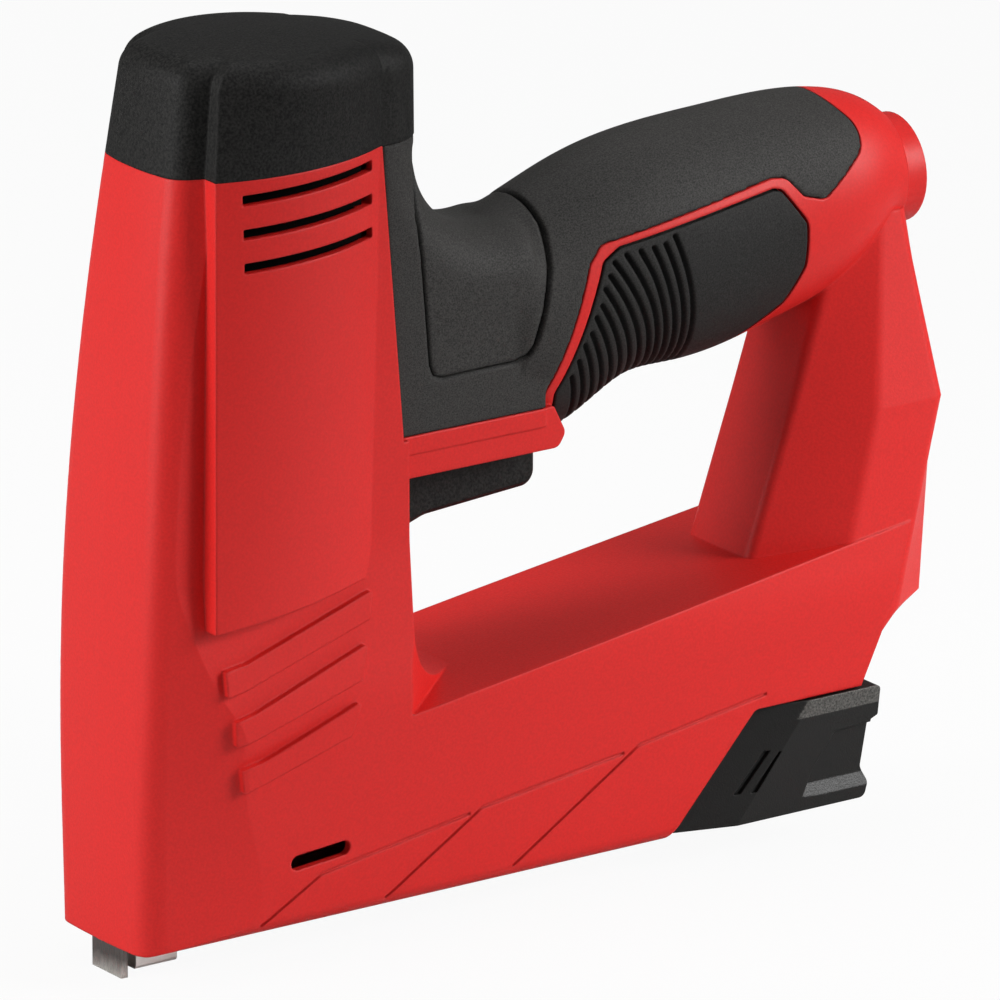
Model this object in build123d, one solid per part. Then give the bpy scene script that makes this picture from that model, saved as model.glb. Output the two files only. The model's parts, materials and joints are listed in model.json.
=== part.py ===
from build123d import *
import math
import os

# Electric staple gun. Millimetres, +Z up, +X to the rear, left side is -Y.
# The origin is the middle of the nose contact's foot.

# Housing
wall = 2.0
bottom_z = 8.0
bottom_half = 19.5
bottom_round = 4.2
ridge_z = 58.0
ridge_half = 24.0
waist_z = 92.0
waist_half = 20.2
cap_line_z = 181.3
cap_line_half = 17.7
front_x = -3.07
front_upright_z = 25.0
front_lean = 0.000428
front_corner_round = 6.0

# Column, bar and opening
column_rear_x = 66.0
column_low_x = 64.8
neck_line_low_x = 64.6
neck_line_top_x = 60.4
bar_front_top_z = 52.9
bar_rear_top_z = 72.1
bar_rear_top_x = 200.0
opening_corner_round = 18.0
column_facet_x = 63.9
column_facet_half = 23.5
column_facet_slope = 0.794
column_facet_length = 24.0
column_facet_top_z = 80.0
magazine_cut_low_x = 136.8
magazine_cut_top_x = 157.6
magazine_cut_z = 35.6
rear_heel_x = 186.8
rear_heel_z = 47.0

# Bulge over the solenoid
bulge_low_z = 81.5
bulge_low_rise = 0.1
bulge_front_x = 11.4
bulge_front_half = 25.4
bulge_mid_x = 30.0
bulge_mid_half = 26.0
bulge_end_x = 57.5
bulge_end_half = 19.4
bulge_top_front_x = 15.0
bulge_top_front_half = 21.0
bulge_top_mid_half = 24.2
bulge_top_end_x = 61.0
bulge_top_end_half = 17.0

# Cap
cap_top_z = 207.2
cap_peak_x = 32.0
cap_crown_radius = 140.0
cap_bulge_front_x = 18.4
cap_bulge_front_half = 17.6
cap_bulge_mid_half = 23.4
cap_bulge_end_x = 61.9
cap_bulge_end_half = 16.6
cap_spine_round = 6.5
cap_bulge_round = 7.0
cap_wall = 2.2
cap_lip = 5.0
cap_fit = 0.15

# Neck and handle
neck_rear_x = 74.4
neck_half = 17.4
neck_round = 12.0
neck_low_z = 110.0
saddle_z = 154.6
saddle_round = 21.0
neck_end_x = 104.0
skin = 1.8
boss_radius = 12.4
boss_z = 147.2
boss_end_x = 210.9
cord_bore_radius = 4.0
cord_bore_length = 14.0

# Details of the housing
rib_height = 1.6
groove_width = 0.7
groove_depth = 0.5
vent_front_x = 20.6
vent_rear_x = 56.5
vent_height = 2.4
vent_rise = 1.2
vent_depth = 12.0
window_front_x = 33.6
window_rear_x = 49.2
window_z = 24.3
window_height = 3.6
window_tilt = 5.0
seat = 2.0

# Clearances: sliding pieces, pieces that stop against each other, pressed-in pieces
slide_fit = 0.3
stop_gap = 0.3
press_gap = 0.15

# Guard and trigger
guard_low_z = 104.6
guard_top_z = 114.2
guard_half = 17.0
guard_end_x = 109.4
trigger_half = 8.0
trigger_flange_half = 10.5
trigger_flange = 2.5
trigger_front_x = 71.5
trigger_rear_x = 107.8
trigger_low_z = 92.6
trigger_top_z = 112.6
trigger_travel = 5.0
trigger_gap = 0.4
trigger_spring_x = 79.0
trigger_spring_radius = 3.0
trigger_spring_wire = 0.7
trigger_spring_turns = 6
trigger_spring_low_z = 109.4
trigger_spring_top_z = 126.0
switch_front_x = 86.0
switch_length = 20.0
switch_half = 3.2
switch_low_z = 119.5
switch_top_z = 130.0
plunger_x = 96.0
plunger_radius = 1.7
plunger_length = 10.0

# Nose and driver
contact_thickness = 1.7
contact_width = 11.4
contact_height = 36.0
contact_travel = 3.0
ear_inner = 5.4
ear_outer = 11.6
ear_arm = 2.1
ear_front_x = 2.0
ear_rear_x = 6.0
ear_height = 3.0
finger_thickness = 1.4
finger_top_z = 48.5
contact_spring_y = 8.0
contact_spring_radius = 1.4
contact_spring_wire = 0.5
contact_spring_turns = 5
contact_seat_z = 45.0
contact_switch_x = 3.0
contact_switch_y = 8.5
contact_switch_length = 8.0
contact_switch_width = 5.5
contact_switch_height = 10.0
driver_thickness = 1.2
driver_width = 9.6
driver_gap = 0.4
guide_low_z = 1.4
guide_floor_z = 9.1
guide_rear_x = 13.5
guide_half = 6.0
guide_leg_half = 7.5
guide_frame_half = 9.0
guide_top_z = 29.0
stroke = 25.0
driver_front_x = contact_thickness / 2 + driver_gap
driver_rear_x = driver_front_x + driver_thickness
guide_front_x = driver_rear_x + driver_gap
driver_tip_z = guide_low_z + stroke
ear_low_z = guide_top_z + stop_gap
ear_top_z = ear_low_z + ear_height

# Solenoid
solenoid_x = 33.0
armature_radius = 9.0
armature_fit = 0.3
bobbin_wall = 1.2
bobbin_flange_radius = 18.0
bobbin_flange = 2.0
bobbin_low_z = 90.0
bobbin_length = 56.0
winding_radius = 17.0
yoke_plate = 4.0
yoke_side = 2.0
yoke_half = 20.2
yoke_depth = 16.0
yoke_seat_half = 10.8
top_seat_half = 13.0
rod_reach = 6.0
push_rod_radius = 4.0
core_low_gap = 1.0
carrier_thickness = 4.0
carrier_half = 7.0
carrier_rear_x = 42.0
carrier_screw_radius = 2.5
carrier_screw_head = 3.5
head_radius = 12.0
head_thickness = 3.0
return_spring_length = 34.0
return_spring_wire = 1.2
return_spring_radius = 10.2
return_spring_turns = 6
buffer_height = 7.0
buffer_radius = 8.0
buffer_ring = 2.5
bumper_height = 6.2
bumper_radius = 11.0
bumper_hole_radius = 5.2
bobbin_top_z = bobbin_low_z + bobbin_length
yoke_low_z = bobbin_low_z - yoke_plate
yoke_top_z = bobbin_top_z + yoke_plate
carrier_top_z = yoke_low_z - rod_reach
carrier_low_z = carrier_top_z - carrier_thickness
core_low_z = bobbin_low_z + stroke + core_low_gap
core_top_z = yoke_top_z + return_spring_length
head_top_z = core_top_z + head_thickness
buffer_low_z = head_top_z + stop_gap
bumper_top_z = carrier_low_z - stroke - stop_gap
bumper_low_z = bumper_top_z - bumper_height

# Magazine
rail_half = 4.9
rail_top_z = 22.8
rail_sheet = 1.0
rail_rear_x = 150.0
tray_sheet = 1.2
tray_low_z = 8.2
tray_half = 7.4
tray_rear_x = 139.0
channel_half = 7.7
channel_top_z = 27.0
channel_sheet = 0.9
channel_rear_x = 136.0
channel_rib_x = [60.0, 110.0]
staple_window_half = 6.4
staple_window_top_z = 25.8
pusher_front_x = 4.6
pusher_length = 18.0
pusher_sheet = 0.9
pusher_travel = 80.0
tongue_front_x = 15.0
tongue_thickness = 3.0
tongue_half = 1.0
rod_radius = 1.5
rod_z = 16.0
plug_front_x = 139.0
pusher_spring_radius = 2.7
pusher_spring_wire = 0.6
pusher_spring_turns = 26
magazine_half = 22.8
magazine_low_z = 9.6
magazine_rear_x = 188.0
magazine_groove_depth = 1.0
magazine_gap = 0.4
magazine_bevel_depth = 4.4
magazine_bevel_width = 12.0
magazine_top_bevel_depth = 2.3
magazine_top_bevel_height = 4.2
magazine_recess = 1.2
release_front_x = 162.0
release_z = 22.0
release_half = 6.0
release_height = 10.0
release_proud = 1.8
release_depth = 6.0
release_travel = 3.0
shank_half = 2.5
shank_height = 4.0
hook_length = 4.0
release_spring_radius = 4.0
release_spring_wire = 0.6
release_spring_turns = 4
release_spring_front_x = 174.0
rail_front_x = guide_front_x + 0.5
tray_top_z = tray_low_z + tray_sheet
pusher_slot_rear_x = tongue_front_x + tongue_thickness + pusher_travel + 20.0
release_face_x = magazine_rear_x - release_depth

# Electronics and power switch
board_z = 33.0
board_thickness = 1.6
board_front_x = 74.0
board_length = 56.0
board_half = 14.0
capacitor_radius = 5.0
capacitor_height = 13.0
capacitor_pitch = 13.0
rocker_x = 210.2
rocker_z = 70.0
rocker_half = 5.2
rocker_height = 16.0
rocker_pin_radius = 1.0
rocker_pin_x = rocker_x - 0.7
rocker_frame_half = 7.0
rocker_frame_height = 22.0
rocker_frame_depth = 13.0
rocker_frame_proud = 2.0

# Screws
screw_radius = 1.6
screw_head_radius = 3.2
screw_head_height = 2.2
screw_post_radius = 4.6
screw_clearance = 0.2
screw_depth = 12.0
screw_seat_y = 10.0
screw_places = [(19, 34), (60, 66), (57, 168), (122, 142), (187, 147), (189, 64), (146, 50)]

FAR = 300.0


def outline(points, radii=0.0):
    """Closed face through the points, each corner rounded by its radius."""
    return make_face(FilletPolyline(*points, radius=radii, close=True))


def side_prism(face, half):
    """Face drawn in X and Z, extruded to both sides of the middle plane."""
    return extrude(Plane.XZ * face, amount=half, both=True)


def shrink(face, inset):
    """The same face, moved in by the inset all round."""
    return offset(face, amount=-inset, kind=Kind.INTERSECTION) if inset else face


def block(x0, x1, y0, y1, z0, z1):
    """Box between two corners."""
    return Pos((x0 + x1) / 2, (y0 + y1) / 2, (z0 + z1) / 2) * Box(x1 - x0, y1 - y0, z1 - z0)


def rod(x, y, z0, z1, radius):
    """Upright cylinder."""
    return Pos(x, y, (z0 + z1) / 2) * Cylinder(radius, z1 - z0)


def rod_x(x0, x1, y, z, radius):
    """Cylinder along X."""
    return Pos((x0 + x1) / 2, y, z) * Rot(0, 90, 0) * Cylinder(radius, x1 - x0)


def rod_y(x, z, y0, y1, radius):
    """Cylinder along Y."""
    return Pos(x, (y0 + y1) / 2, z) * Rot(90, 0, 0) * Cylinder(radius, y1 - y0)


def coil(length, radius, wire, turns):
    """Compression spring standing on Z = 0."""
    rise = length - wire
    path = Pos(0, 0, wire / 2) * Helix(pitch=rise / turns, height=rise, radius=radius)
    ring = Plane(origin=path @ 0, z_dir=path % 0) * Circle(wire / 2)
    return sweep(ring, path=path, is_frenet=True)


def front_at(z):
    """X of the housing's front at a height: upright at the nose, leaning back towards the cap."""
    return front_x + front_lean * (z - front_upright_z) ** 2


# The front in plan: height, half width at the corner, crown of the front, angle of the side facet
FRONT_SECTIONS = [(0, 17.8, 0.8, 5), (25, 17.9, 0.8, 6.5), (69, 18.7, 0.9, 16), (110, 18.3, 1.1, 18),
                  (181, 14.4, 1.8, 22), (215, 12.2, 2.0, 24)]
FACET_REACH_X = 120.0


def front_tool(inset):
    """Everything behind the crowned front and its two facets."""
    faces = []
    for z, half, crown, angle in FRONT_SECTIONS:
        nose = front_at(z)
        corner = nose + crown
        flare = half + (FACET_REACH_X - corner) * math.tan(math.radians(angle))
        front = ThreePointArc((corner, half), (nose, 0), (corner, -half))
        sides = Polyline((corner, -half), (FACET_REACH_X, -flare), (FAR, -flare), (FAR, flare),
                         (FACET_REACH_X, flare), (corner, half))
        face = make_face([front, *sides.edges()])
        corners = face.vertices().filter_by(lambda v: v.X < corner + 0.1)
        face = fillet(corners, front_corner_round)
        faces.append(Pos(0, 0, z) * shrink(face, inset))
    return loft(faces)


def side_envelope(inset):
    """Cross-section of the housing, drawn in Y and Z."""
    half = [(bottom_half, bottom_z), (ridge_half, ridge_z), (waist_half, waist_z),
            (cap_line_half, cap_line_z), (cap_line_half - 1.5, FAR)]
    radii = [bottom_round, 45, 45, 0, 0]
    points = half + [(-y, z) for y, z in reversed(half)]
    face = outline(points, radii + radii[::-1])
    return Pos(-60, 0, 0) * extrude(Plane.YZ * shrink(face, inset), amount=FAR)


def column_foot_facets(inset):
    """Upright wedges that bevel the column's foot on both sides, over the bar's top."""
    start = (column_facet_x - inset * 1.27, -column_facet_half)
    end = (start[0] + column_facet_length, start[1] + column_facet_length * column_facet_slope)
    plan = make_face(Polyline(start, end, (end[0], -60), (start[0], -60), close=True))
    slope = (bar_rear_top_z - bar_front_top_z) / (bar_rear_top_x - column_low_x)
    low = [(column_low_x - 40, bar_front_top_z - 40 * slope - inset),
           (bar_rear_top_x, bar_rear_top_z - inset), (bar_rear_top_x, column_facet_top_z),
           (column_low_x - 40, column_facet_top_z)]
    right = extrude(plan, amount=FAR) & side_prism(outline(low), 60)
    return [right, mirror(right, Plane.XZ)]


def frame_body(inset):
    """Column and lower bar."""
    points = [(-40, bottom_z), (magazine_cut_low_x - 1.0, bottom_z), (magazine_cut_low_x, magazine_low_z),
              (magazine_cut_top_x, magazine_cut_z), (rear_heel_x, magazine_cut_z),
              (rear_heel_x + 4.5, rear_heel_z), (bar_rear_top_x, bar_rear_top_z),
              (column_low_x, bar_front_top_z), (column_rear_x, guard_top_z), (neck_line_low_x, guard_top_z),
              (neck_line_top_x, cap_line_z), (-40, cap_line_z)]
    radii = [0, 0, 0, 2, 0, 0, 0, opening_corner_round, 0, 0, 0, 0]
    face = shrink(outline(points, radii), inset)
    body = side_prism(face, 40) & side_envelope(inset) & front_tool(inset)
    for tool in column_foot_facets(inset):
        body -= tool
    return body


# The strut in plan: height, front, start and end of the side, rear, half width of the side
STRUT_SECTIONS = [(46, 155.8, 177.0, 190.8, 196.0, 22.8), (52.5, 158.0, 178.9, 196.0, 209.0, 22.9),
                  (91, 171.4, 189.6, 207.0, 211.2, 21.3), (99, 174.2, 191.8, 209.8, 212.0, 20.8),
                  (142, 188.2, 197.6, 202.4, 205.2, 14.0)]
strut_front_half = 11.3
strut_rear_half = 14.0
STRUT_ROUNDS = [3.0, 5.0, 3.0, 3.0]


def strut_body(inset):
    """Rear strut between the bar and the handle, with chamfered front and rear."""
    faces = []
    for z, front, start, end, rear, half in STRUT_SECTIONS:
        rear_half = min(strut_rear_half, half - 2)
        right = [(front, strut_front_half), (start, half), (end, half), (rear, rear_half)]
        left = [(x, -y) for x, y in reversed(right)]
        face = outline(right + left, STRUT_ROUNDS + STRUT_ROUNDS[::-1])
        faces.append(Pos(0, 0, z) * shrink(face, inset))
    return loft(faces, ruled=True) & block(0, FAR, -60, 60, STRUT_SECTIONS[0][0] + inset, FAR)


# The handle: distance from the nose, lowest and highest point, half width
HANDLE_SECTIONS = [(98, 104.6, 156.8, 18.4), (106, 103.8, 159.0, 19.2), (117, 105.6, 163.2, 19.8),
                   (131, 112.8, 167.0, 20.2), (146, 113.8, 168.9, 20.4), (160, 115.4, 169.6, 20.1),
                   (172, 118.4, 170.0, 19.8), (184, 121.8, 169.6, 19.4), (196, 128.4, 167.2, 17.0),
                   (205, 134.0, 162.0, 13.6)]


def handle_body(inset):
    """Oval handle, swelling in the palm and drawn in to the cord boss."""
    faces = []
    for x, low, high, half in HANDLE_SECTIONS:
        oval = Ellipse(half - inset, (high - low) / 2 - inset)
        faces.append(Plane(origin=(x, 0, (low + high) / 2), x_dir=(0, 1, 0), z_dir=(1, 0, 0)) * oval)
    return loft(faces)


def neck_body(inset):
    """Neck between the column and the handle, rounded over the saddle."""
    points = [(40, neck_low_z), (neck_end_x, neck_low_z), (neck_end_x, saddle_z + 2.2),
              (neck_rear_x, saddle_z - 2.0), (neck_rear_x, cap_line_z), (40, cap_line_z)]
    face = shrink(outline(points, [0, 0, 0, saddle_round, 0, 0]), inset)
    body = side_prism(face, neck_half - inset)
    rims = body.edges().filter_by(lambda e: abs(abs(e.center().Y) - neck_half + inset) < 0.01
                                  and e.center().X > neck_rear_x - inset - 1 and e.center().Z > saddle_z - 8)
    rims = rims.filter_by(lambda e: e.center().X < neck_end_x - inset - 0.5)
    return fillet(rims, neck_round - inset)


# Plan of the bulge at three heights: front, middle and rear end of its side
BULGE_PLANS = [
    (bulge_low_z, (bulge_front_x, bulge_front_half), (bulge_mid_x, bulge_mid_half),
     (bulge_end_x, bulge_end_half)),
    (cap_line_z, (bulge_top_front_x, bulge_top_front_half), (bulge_mid_x, bulge_top_mid_half),
     (bulge_top_end_x, bulge_top_end_half)),
    (cap_top_z, (cap_bulge_front_x, cap_bulge_front_half), (bulge_mid_x, cap_bulge_mid_half),
     (cap_bulge_end_x, cap_bulge_end_half)),
]


def bulge_section(z, inset):
    """Plan of the solenoid bulge at a height."""
    low, high = BULGE_PLANS[:2] if z <= cap_line_z else BULGE_PLANS[1:]
    share = (z - low[0]) / (high[0] - low[0])
    start, middle, end = [(a[0] + (b[0] - a[0]) * share, a[1] + (b[1] - a[1]) * share)
                          for a, b in zip(low[1:], high[1:])]
    near = ThreePointArc(start, middle, end)
    far = ThreePointArc((end[0], -end[1]), (middle[0], -middle[1]), (start[0], -start[1]))
    rear = Line(near @ 1, far @ 0)
    front = Line(far @ 1, near @ 0)
    return Pos(0, 0, z) * shrink(make_face([near, rear, far, front]), inset)


def bulge_body(inset, top):
    """Bulge from its slanted lower edge up to a height."""
    heights = sorted({bulge_low_z - 12, cap_line_z, top})
    body = loft([bulge_section(z, inset) for z in heights if z <= top], ruled=True)
    low = bulge_low_z + inset
    under = [(-10, low - 30), (90, low - 30), (90, low + bulge_low_rise * (90 - bulge_front_x)),
             (-10, low - bulge_low_rise * (10 + bulge_front_x))]
    return body - side_prism(outline(under), 60)


def guard_body(inset):
    """Straight strip over the trigger."""
    points = [(50, guard_low_z), (guard_end_x - 2, guard_low_z), (guard_end_x, guard_low_z + 3.2),
              (guard_end_x - 3.2, guard_top_z), (50, guard_top_z)]
    return side_prism(shrink(outline(points, [0, 2.2, 2.2, 0.5, 0]), inset), guard_half - inset)


def boss_body(inset):
    """Rear boss for the mains lead."""
    return rod_x(194, boss_end_x - inset, 0, boss_z, boss_radius - inset)


# Where the soft skins lie, drawn in X and Z from the side
GRIP_AREA = [(neck_line_low_x, guard_top_z), (104.2, guard_top_z), (104.4, 117.5), (115.2, 145.0),
             (118.6, 148.8), (164.6, 156.2), (168.2, 155.8), (172.2, 151.2), (178.0, 149.6),
             (190.6, 158.4), (191.4, 163.0), (184.0, 172.0), (180.0, 185.0),
             (neck_line_top_x - 0.1, 185.0)]
PAD_AREA = [(110.4, 102.0), (107.6, 110.6), (106.6, 117.0), (118.3, 145.6), (122.6, 148.2), (164.4, 154.3),
            (166.8, 153.8), (173.2, 145.4), (173.6, 135.0), (170.2, 126.0), (162.0, 119.0), (160.0, 102.0)]
GRIP_ROUNDS = [0, 0, 2, 3, 3, 2, 3, 3, 3, 5, 5, 0, 0, 0]
PAD_ROUNDS = [0, 2, 3, 3, 3, 2, 3, 5, 5, 5, 5, 0]


def side_area(points, radii=0.0):
    """Everything behind an area drawn from the side."""
    return side_prism(outline(points, radii), 60)


def soft_skin():
    """Layer of rubber over the neck and handle."""
    outer = neck_body(0) + handle_body(0)
    core = neck_body(skin) + handle_body(skin)
    return outer - core - frame_body(0) - guard_body(0)


# Raised ribs below the bulge: front tip, bend and slanted rear end, lower and upper edge
RIBS = [[(15.0, 66.2), (20.4, 67.3), (53.3, 77.1), (54.2, 83.3), (20.4, 72.9), (14.8, 72.2)],
        [(17.2, 54.6), (22.1, 55.8), (50.0, 64.0), (52.0, 71.8), (21.7, 61.6), (16.7, 60.6)],
        [(19.4, 43.4), (24.4, 44.8), (46.9, 51.7), (49.7, 59.4), (24.1, 50.2), (18.6, 49.2)]]

# Shingle lines along the bar, each a slant and a run to the rear
SHINGLES = [[(26.4, 10.6), (41.8, 19.8), (81.0, 26.2)], [(59.2, 10.6), (84.0, 27.0), (122.0, 32.3)],
            [(93.2, 11.2), (125.8, 33.4), (160.4, 38.9)]]

VENT_HEIGHTS = [176.9, 169.4, 161.9]


def raised_ribs():
    """Ribs that stand out from the side and wrap round the facet edge."""
    proud = side_envelope(-rib_height) & front_tool(-rib_height)
    ribs = [side_area(points, 0.6) for points in RIBS]
    return proud & (ribs[0] + ribs[1] + ribs[2])


def shingle_grooves():
    """Shallow lines in the bar's sides."""
    lines = [side_prism(trace(Polyline(*points), groove_width), 60) for points in SHINGLES]
    return lines[0] + lines[1] + lines[2] - side_envelope(groove_depth)


def vent_slots():
    """Three long slots in each side of the bulge."""
    slots = []
    for z in VENT_HEIGHTS:
        low, high = z - vent_height / 2, z + vent_height / 2
        face = outline([(vent_front_x, low), (vent_rear_x, low + vent_rise),
                        (vent_rear_x, high + vent_rise), (vent_front_x, high)], 0.4)
        slots.append(side_prism(face, 60))
    return slots[0] + slots[1] + slots[2] - block(-60, FAR, -vent_depth, vent_depth, 0, FAR)


def inspection_slot():
    """Long hole over the staple strip, right through the housing and the channel."""
    middle = (window_front_x + window_rear_x) / 2
    hole = SlotOverall(window_rear_x - window_front_x, window_height, rotation=window_tilt)
    return side_prism(Pos(middle, window_z) * hole, 60)


def both_sides(x0, x1, inner, z0, z1, outer=60):
    """Two mirrored boxes, from a half width outwards."""
    return [block(x0, x1, inner, outer, z0, z1), block(x0, x1, -outer, -inner, z0, z1)]


def shell_inside():
    """Posts, shelves and ledges that stand in the housing."""
    pieces = [rod_y(x, z, -60, 60, screw_post_radius) for x, z in screw_places]
    near, far = solenoid_x - yoke_depth / 2 - 3, solenoid_x + yoke_depth / 2 + 3
    pieces.append(block(near - 2, far + 2, -60, 60, bumper_low_z - seat, bumper_low_z))
    pieces += both_sides(near, far, yoke_seat_half, yoke_low_z - stop_gap - seat, yoke_low_z - stop_gap)
    pieces += both_sides(near, far, top_seat_half, yoke_top_z + stop_gap, yoke_top_z + stop_gap + seat)
    for x in channel_rib_x:
        pieces += both_sides(x, x + seat, channel_half + stop_gap, bottom_z, channel_top_z + seat)
    for x in (board_front_x + 4, board_front_x + board_length - 4 - seat):
        pieces += both_sides(x, x + seat, board_half - 2.5, board_z - seat, board_z)
    spring_seat = contact_spring_radius + contact_spring_wire
    pieces += both_sides(-4, ear_rear_x, contact_spring_y - spring_seat, contact_seat_z,
                         contact_seat_z + seat, contact_spring_y + spring_seat - 0.1)
    guide_rib_x = guide_front_x + 3
    pieces += both_sides(guide_rib_x, guide_rib_x + seat, guide_frame_half + stop_gap, bottom_z, guide_top_z)
    contact_switch_top = contact_switch_z() + contact_switch_height
    pieces.append(block(contact_switch_x, contact_switch_x + contact_switch_length, contact_switch_y, 60,
                        contact_switch_top, contact_switch_top + seat))
    pieces.append(rod_x(boss_end_x - cord_bore_length, boss_end_x, 0, boss_z, cord_bore_radius + wall))
    pieces.append(block(switch_front_x, switch_front_x + switch_length, -60, 60, switch_top_z,
                        switch_top_z + seat))
    pieces.append(block(trigger_spring_x - 4, trigger_spring_x + 4, -60, 60, trigger_spring_top_z,
                        trigger_spring_top_z + seat))
    return pieces


def contact_switch_z():
    """Underside of the contact switch, just clear of the raised finger."""
    return finger_top_z + contact_travel + slide_fit


def shell_cuts():
    """Openings of the closed housing."""
    contact_front = -contact_thickness / 2 - slide_fit
    contact_half = contact_width / 2 + slide_fit
    ear_half = ear_inner + ear_arm + slide_fit
    yoke_near, yoke_far = solenoid_x - yoke_depth / 2 - stop_gap, solenoid_x + yoke_depth / 2 + stop_gap
    trigger_near, trigger_far = trigger_front_x - trigger_gap, trigger_rear_x + trigger_gap
    trigger_side, flange_side = trigger_half + trigger_gap, trigger_flange_half + trigger_gap
    frame_side, frame_end = rocker_frame_half + press_gap, rocker_frame_height / 2 + press_gap
    cuts = [
        block(contact_front, magazine_cut_low_x + 5, -tray_half - 0.5, tray_half + 0.5, bottom_z - 5,
              bottom_z + wall),
        block(channel_rear_x - 4, magazine_cut_top_x, -channel_half - stop_gap, channel_half + stop_gap,
              bottom_z - 5, channel_top_z + stop_gap),
        block(contact_front, guide_front_x, -contact_half, contact_half, bottom_z - 5,
              contact_height + contact_travel + stop_gap),
        block(contact_front, guide_front_x, -ear_half, ear_half, guide_top_z - 1,
              ear_top_z + contact_travel + stop_gap),
        block(yoke_near, yoke_far, -yoke_half - stop_gap, yoke_half + stop_gap, yoke_low_z - stop_gap,
              yoke_top_z + stop_gap),
        rod(solenoid_x, 0, bumper_low_z - seat - 1, bumper_low_z + 1, bumper_hole_radius),
        rod(solenoid_x, 0, cap_line_z - wall - 1, cap_line_z + 1, head_radius + 1.0),
        block(trigger_near, trigger_far, -trigger_side, trigger_side, guard_low_z - 4,
              guard_low_z + wall + 0.5),
        block(trigger_near, trigger_far, -flange_side, flange_side, guard_low_z + wall,
              trigger_top_z + trigger_travel + 1),
        rod_x(boss_end_x - cord_bore_length, boss_end_x + 1, 0, boss_z, cord_bore_radius),
        block(rocker_x - rocker_frame_depth - press_gap, FAR, -frame_side, frame_side, rocker_z - frame_end,
              rocker_z + frame_end),
        vent_slots(),
        inspection_slot(),
        shingle_grooves(),
    ]
    for x, z in screw_places:
        cuts.append(rod_y(x, z, -screw_depth, 60, screw_radius + screw_clearance))
        cuts.append(rod_y(x, z, screw_seat_y, 60, screw_head_radius + screw_clearance))
    return cuts


def cap_spine(inset):
    """Column above the cap line, its rear corners rounded."""
    body = block(-60, neck_rear_x - inset, -60, 60, cap_line_z - 20, 230)
    body = body & side_envelope(inset) & front_tool(inset)
    rims = body.edges().filter_by(lambda e: e.center().X > neck_rear_x - inset - 0.5 and e.length > 20
                                  and abs(e.center().Y) > 10)
    return fillet(rims, neck_round - inset)


def cap_outline(inset):
    """Column and bulge above the cap line, open at the top."""
    return cap_spine(inset) + bulge_body(inset, 230)


def rounded_top(body, radius):
    """Body with its crowned top's edge rounded."""
    crown = body.faces().filter_by(lambda f: f.geom_type == GeomType.SPHERE)
    return fillet(crown.edges(), radius)


def cap_body(inset):
    """Closed shape of the cap, moved in by the inset."""
    above = block(-60, FAR, -60, 60, cap_line_z, FAR)
    crown = Pos(cap_peak_x, 0, cap_top_z - cap_crown_radius) * Sphere(cap_crown_radius - inset)
    spine = rounded_top(cap_spine(inset) & crown & above, cap_spine_round - inset)
    return spine + rounded_top(bulge_body(inset, 230) & crown & above, cap_bulge_round - inset)


def top_cap():
    """Black cap with a hollow and a ring that holds the top buffer."""
    hollow = cap_body(cap_wall)
    ring = rod(solenoid_x, 0, buffer_low_z + 2, cap_top_z, buffer_radius + buffer_ring) & hollow
    ring -= rod(solenoid_x, 0, buffer_low_z, buffer_low_z + buffer_height, buffer_radius)
    ring -= rod(solenoid_x, 0, buffer_low_z, cap_top_z - 2 * cap_wall, buffer_radius - buffer_ring)
    return cap_body(0) - hollow + ring


def cap_lip_ring():
    """Lip on the shells that the cap sits round."""
    band = block(-60, FAR, -60, 60, cap_line_z - wall, cap_line_z + cap_lip)
    return (cap_outline(cap_wall + cap_fit) - cap_outline(cap_wall + cap_fit + wall)) & band


def nose_contact():
    """Contact plate with two ears for its springs and a finger for the switch."""
    half = contact_thickness / 2
    ear_half = ear_inner + ear_arm
    body = block(-half, half, -contact_width / 2, contact_width / 2, 0, contact_height)
    body += block(-half, half, -ear_half, ear_half, ear_low_z, ear_top_z)
    for ear in both_sides(-half, ear_rear_x, ear_inner, ear_low_z, ear_top_z, ear_half):
        body += ear
    for ear in both_sides(ear_front_x, ear_rear_x, ear_inner, ear_low_z, ear_top_z, ear_outer):
        body += ear
    return body + block(ear_front_x, ear_rear_x, ear_outer - finger_thickness, ear_outer, ear_low_z,
                        finger_top_z)


def nose_guide():
    """Guide block: the staple leaves between it and the contact plate."""
    foot = block(guide_front_x, guide_rear_x, -guide_half, guide_half, guide_low_z, guide_floor_z)
    foot = fillet(foot.edges().filter_by(Axis.X).sort_by(Axis.Z)[:2], 1.0)
    legs = block(guide_front_x, guide_rear_x, -guide_leg_half, guide_leg_half, bottom_z, guide_top_z)
    frame = block(guide_front_x, guide_rear_x, -guide_frame_half, guide_frame_half,
                  bottom_z + wall + slide_fit, guide_top_z)
    window = block(guide_front_x - 1, guide_rear_x + 1, -staple_window_half, staple_window_half,
                   guide_floor_z, staple_window_top_z)
    return foot + legs + frame - window


def driver_blade():
    half = driver_width / 2
    return block(driver_front_x, driver_rear_x, -half, half, driver_tip_z, carrier_top_z)


def driver_carrier():
    """Plate under the armature's rod, carrying the blade at its front end."""
    body = block(driver_rear_x, carrier_rear_x, -carrier_half, carrier_half, carrier_low_z, carrier_top_z)
    corners = body.edges().filter_by(Axis.Z).sort_by(Axis.X)[-2:]
    return fillet(corners, 4.0) - rod(solenoid_x, 0, 0, FAR, carrier_screw_radius)


def carrier_screw():
    """Screw through the carrier into the armature's rod."""
    head = rod(solenoid_x, 0, carrier_low_z - carrier_screw_head, carrier_low_z, carrier_screw_radius + 1.8)
    drive = Pos(solenoid_x, 0, carrier_low_z - carrier_screw_head) * extrude(RegularPolygon(1.8, 6), amount=2)
    return head - drive + rod(solenoid_x, 0, carrier_low_z, carrier_top_z + 8, carrier_screw_radius)


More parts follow.
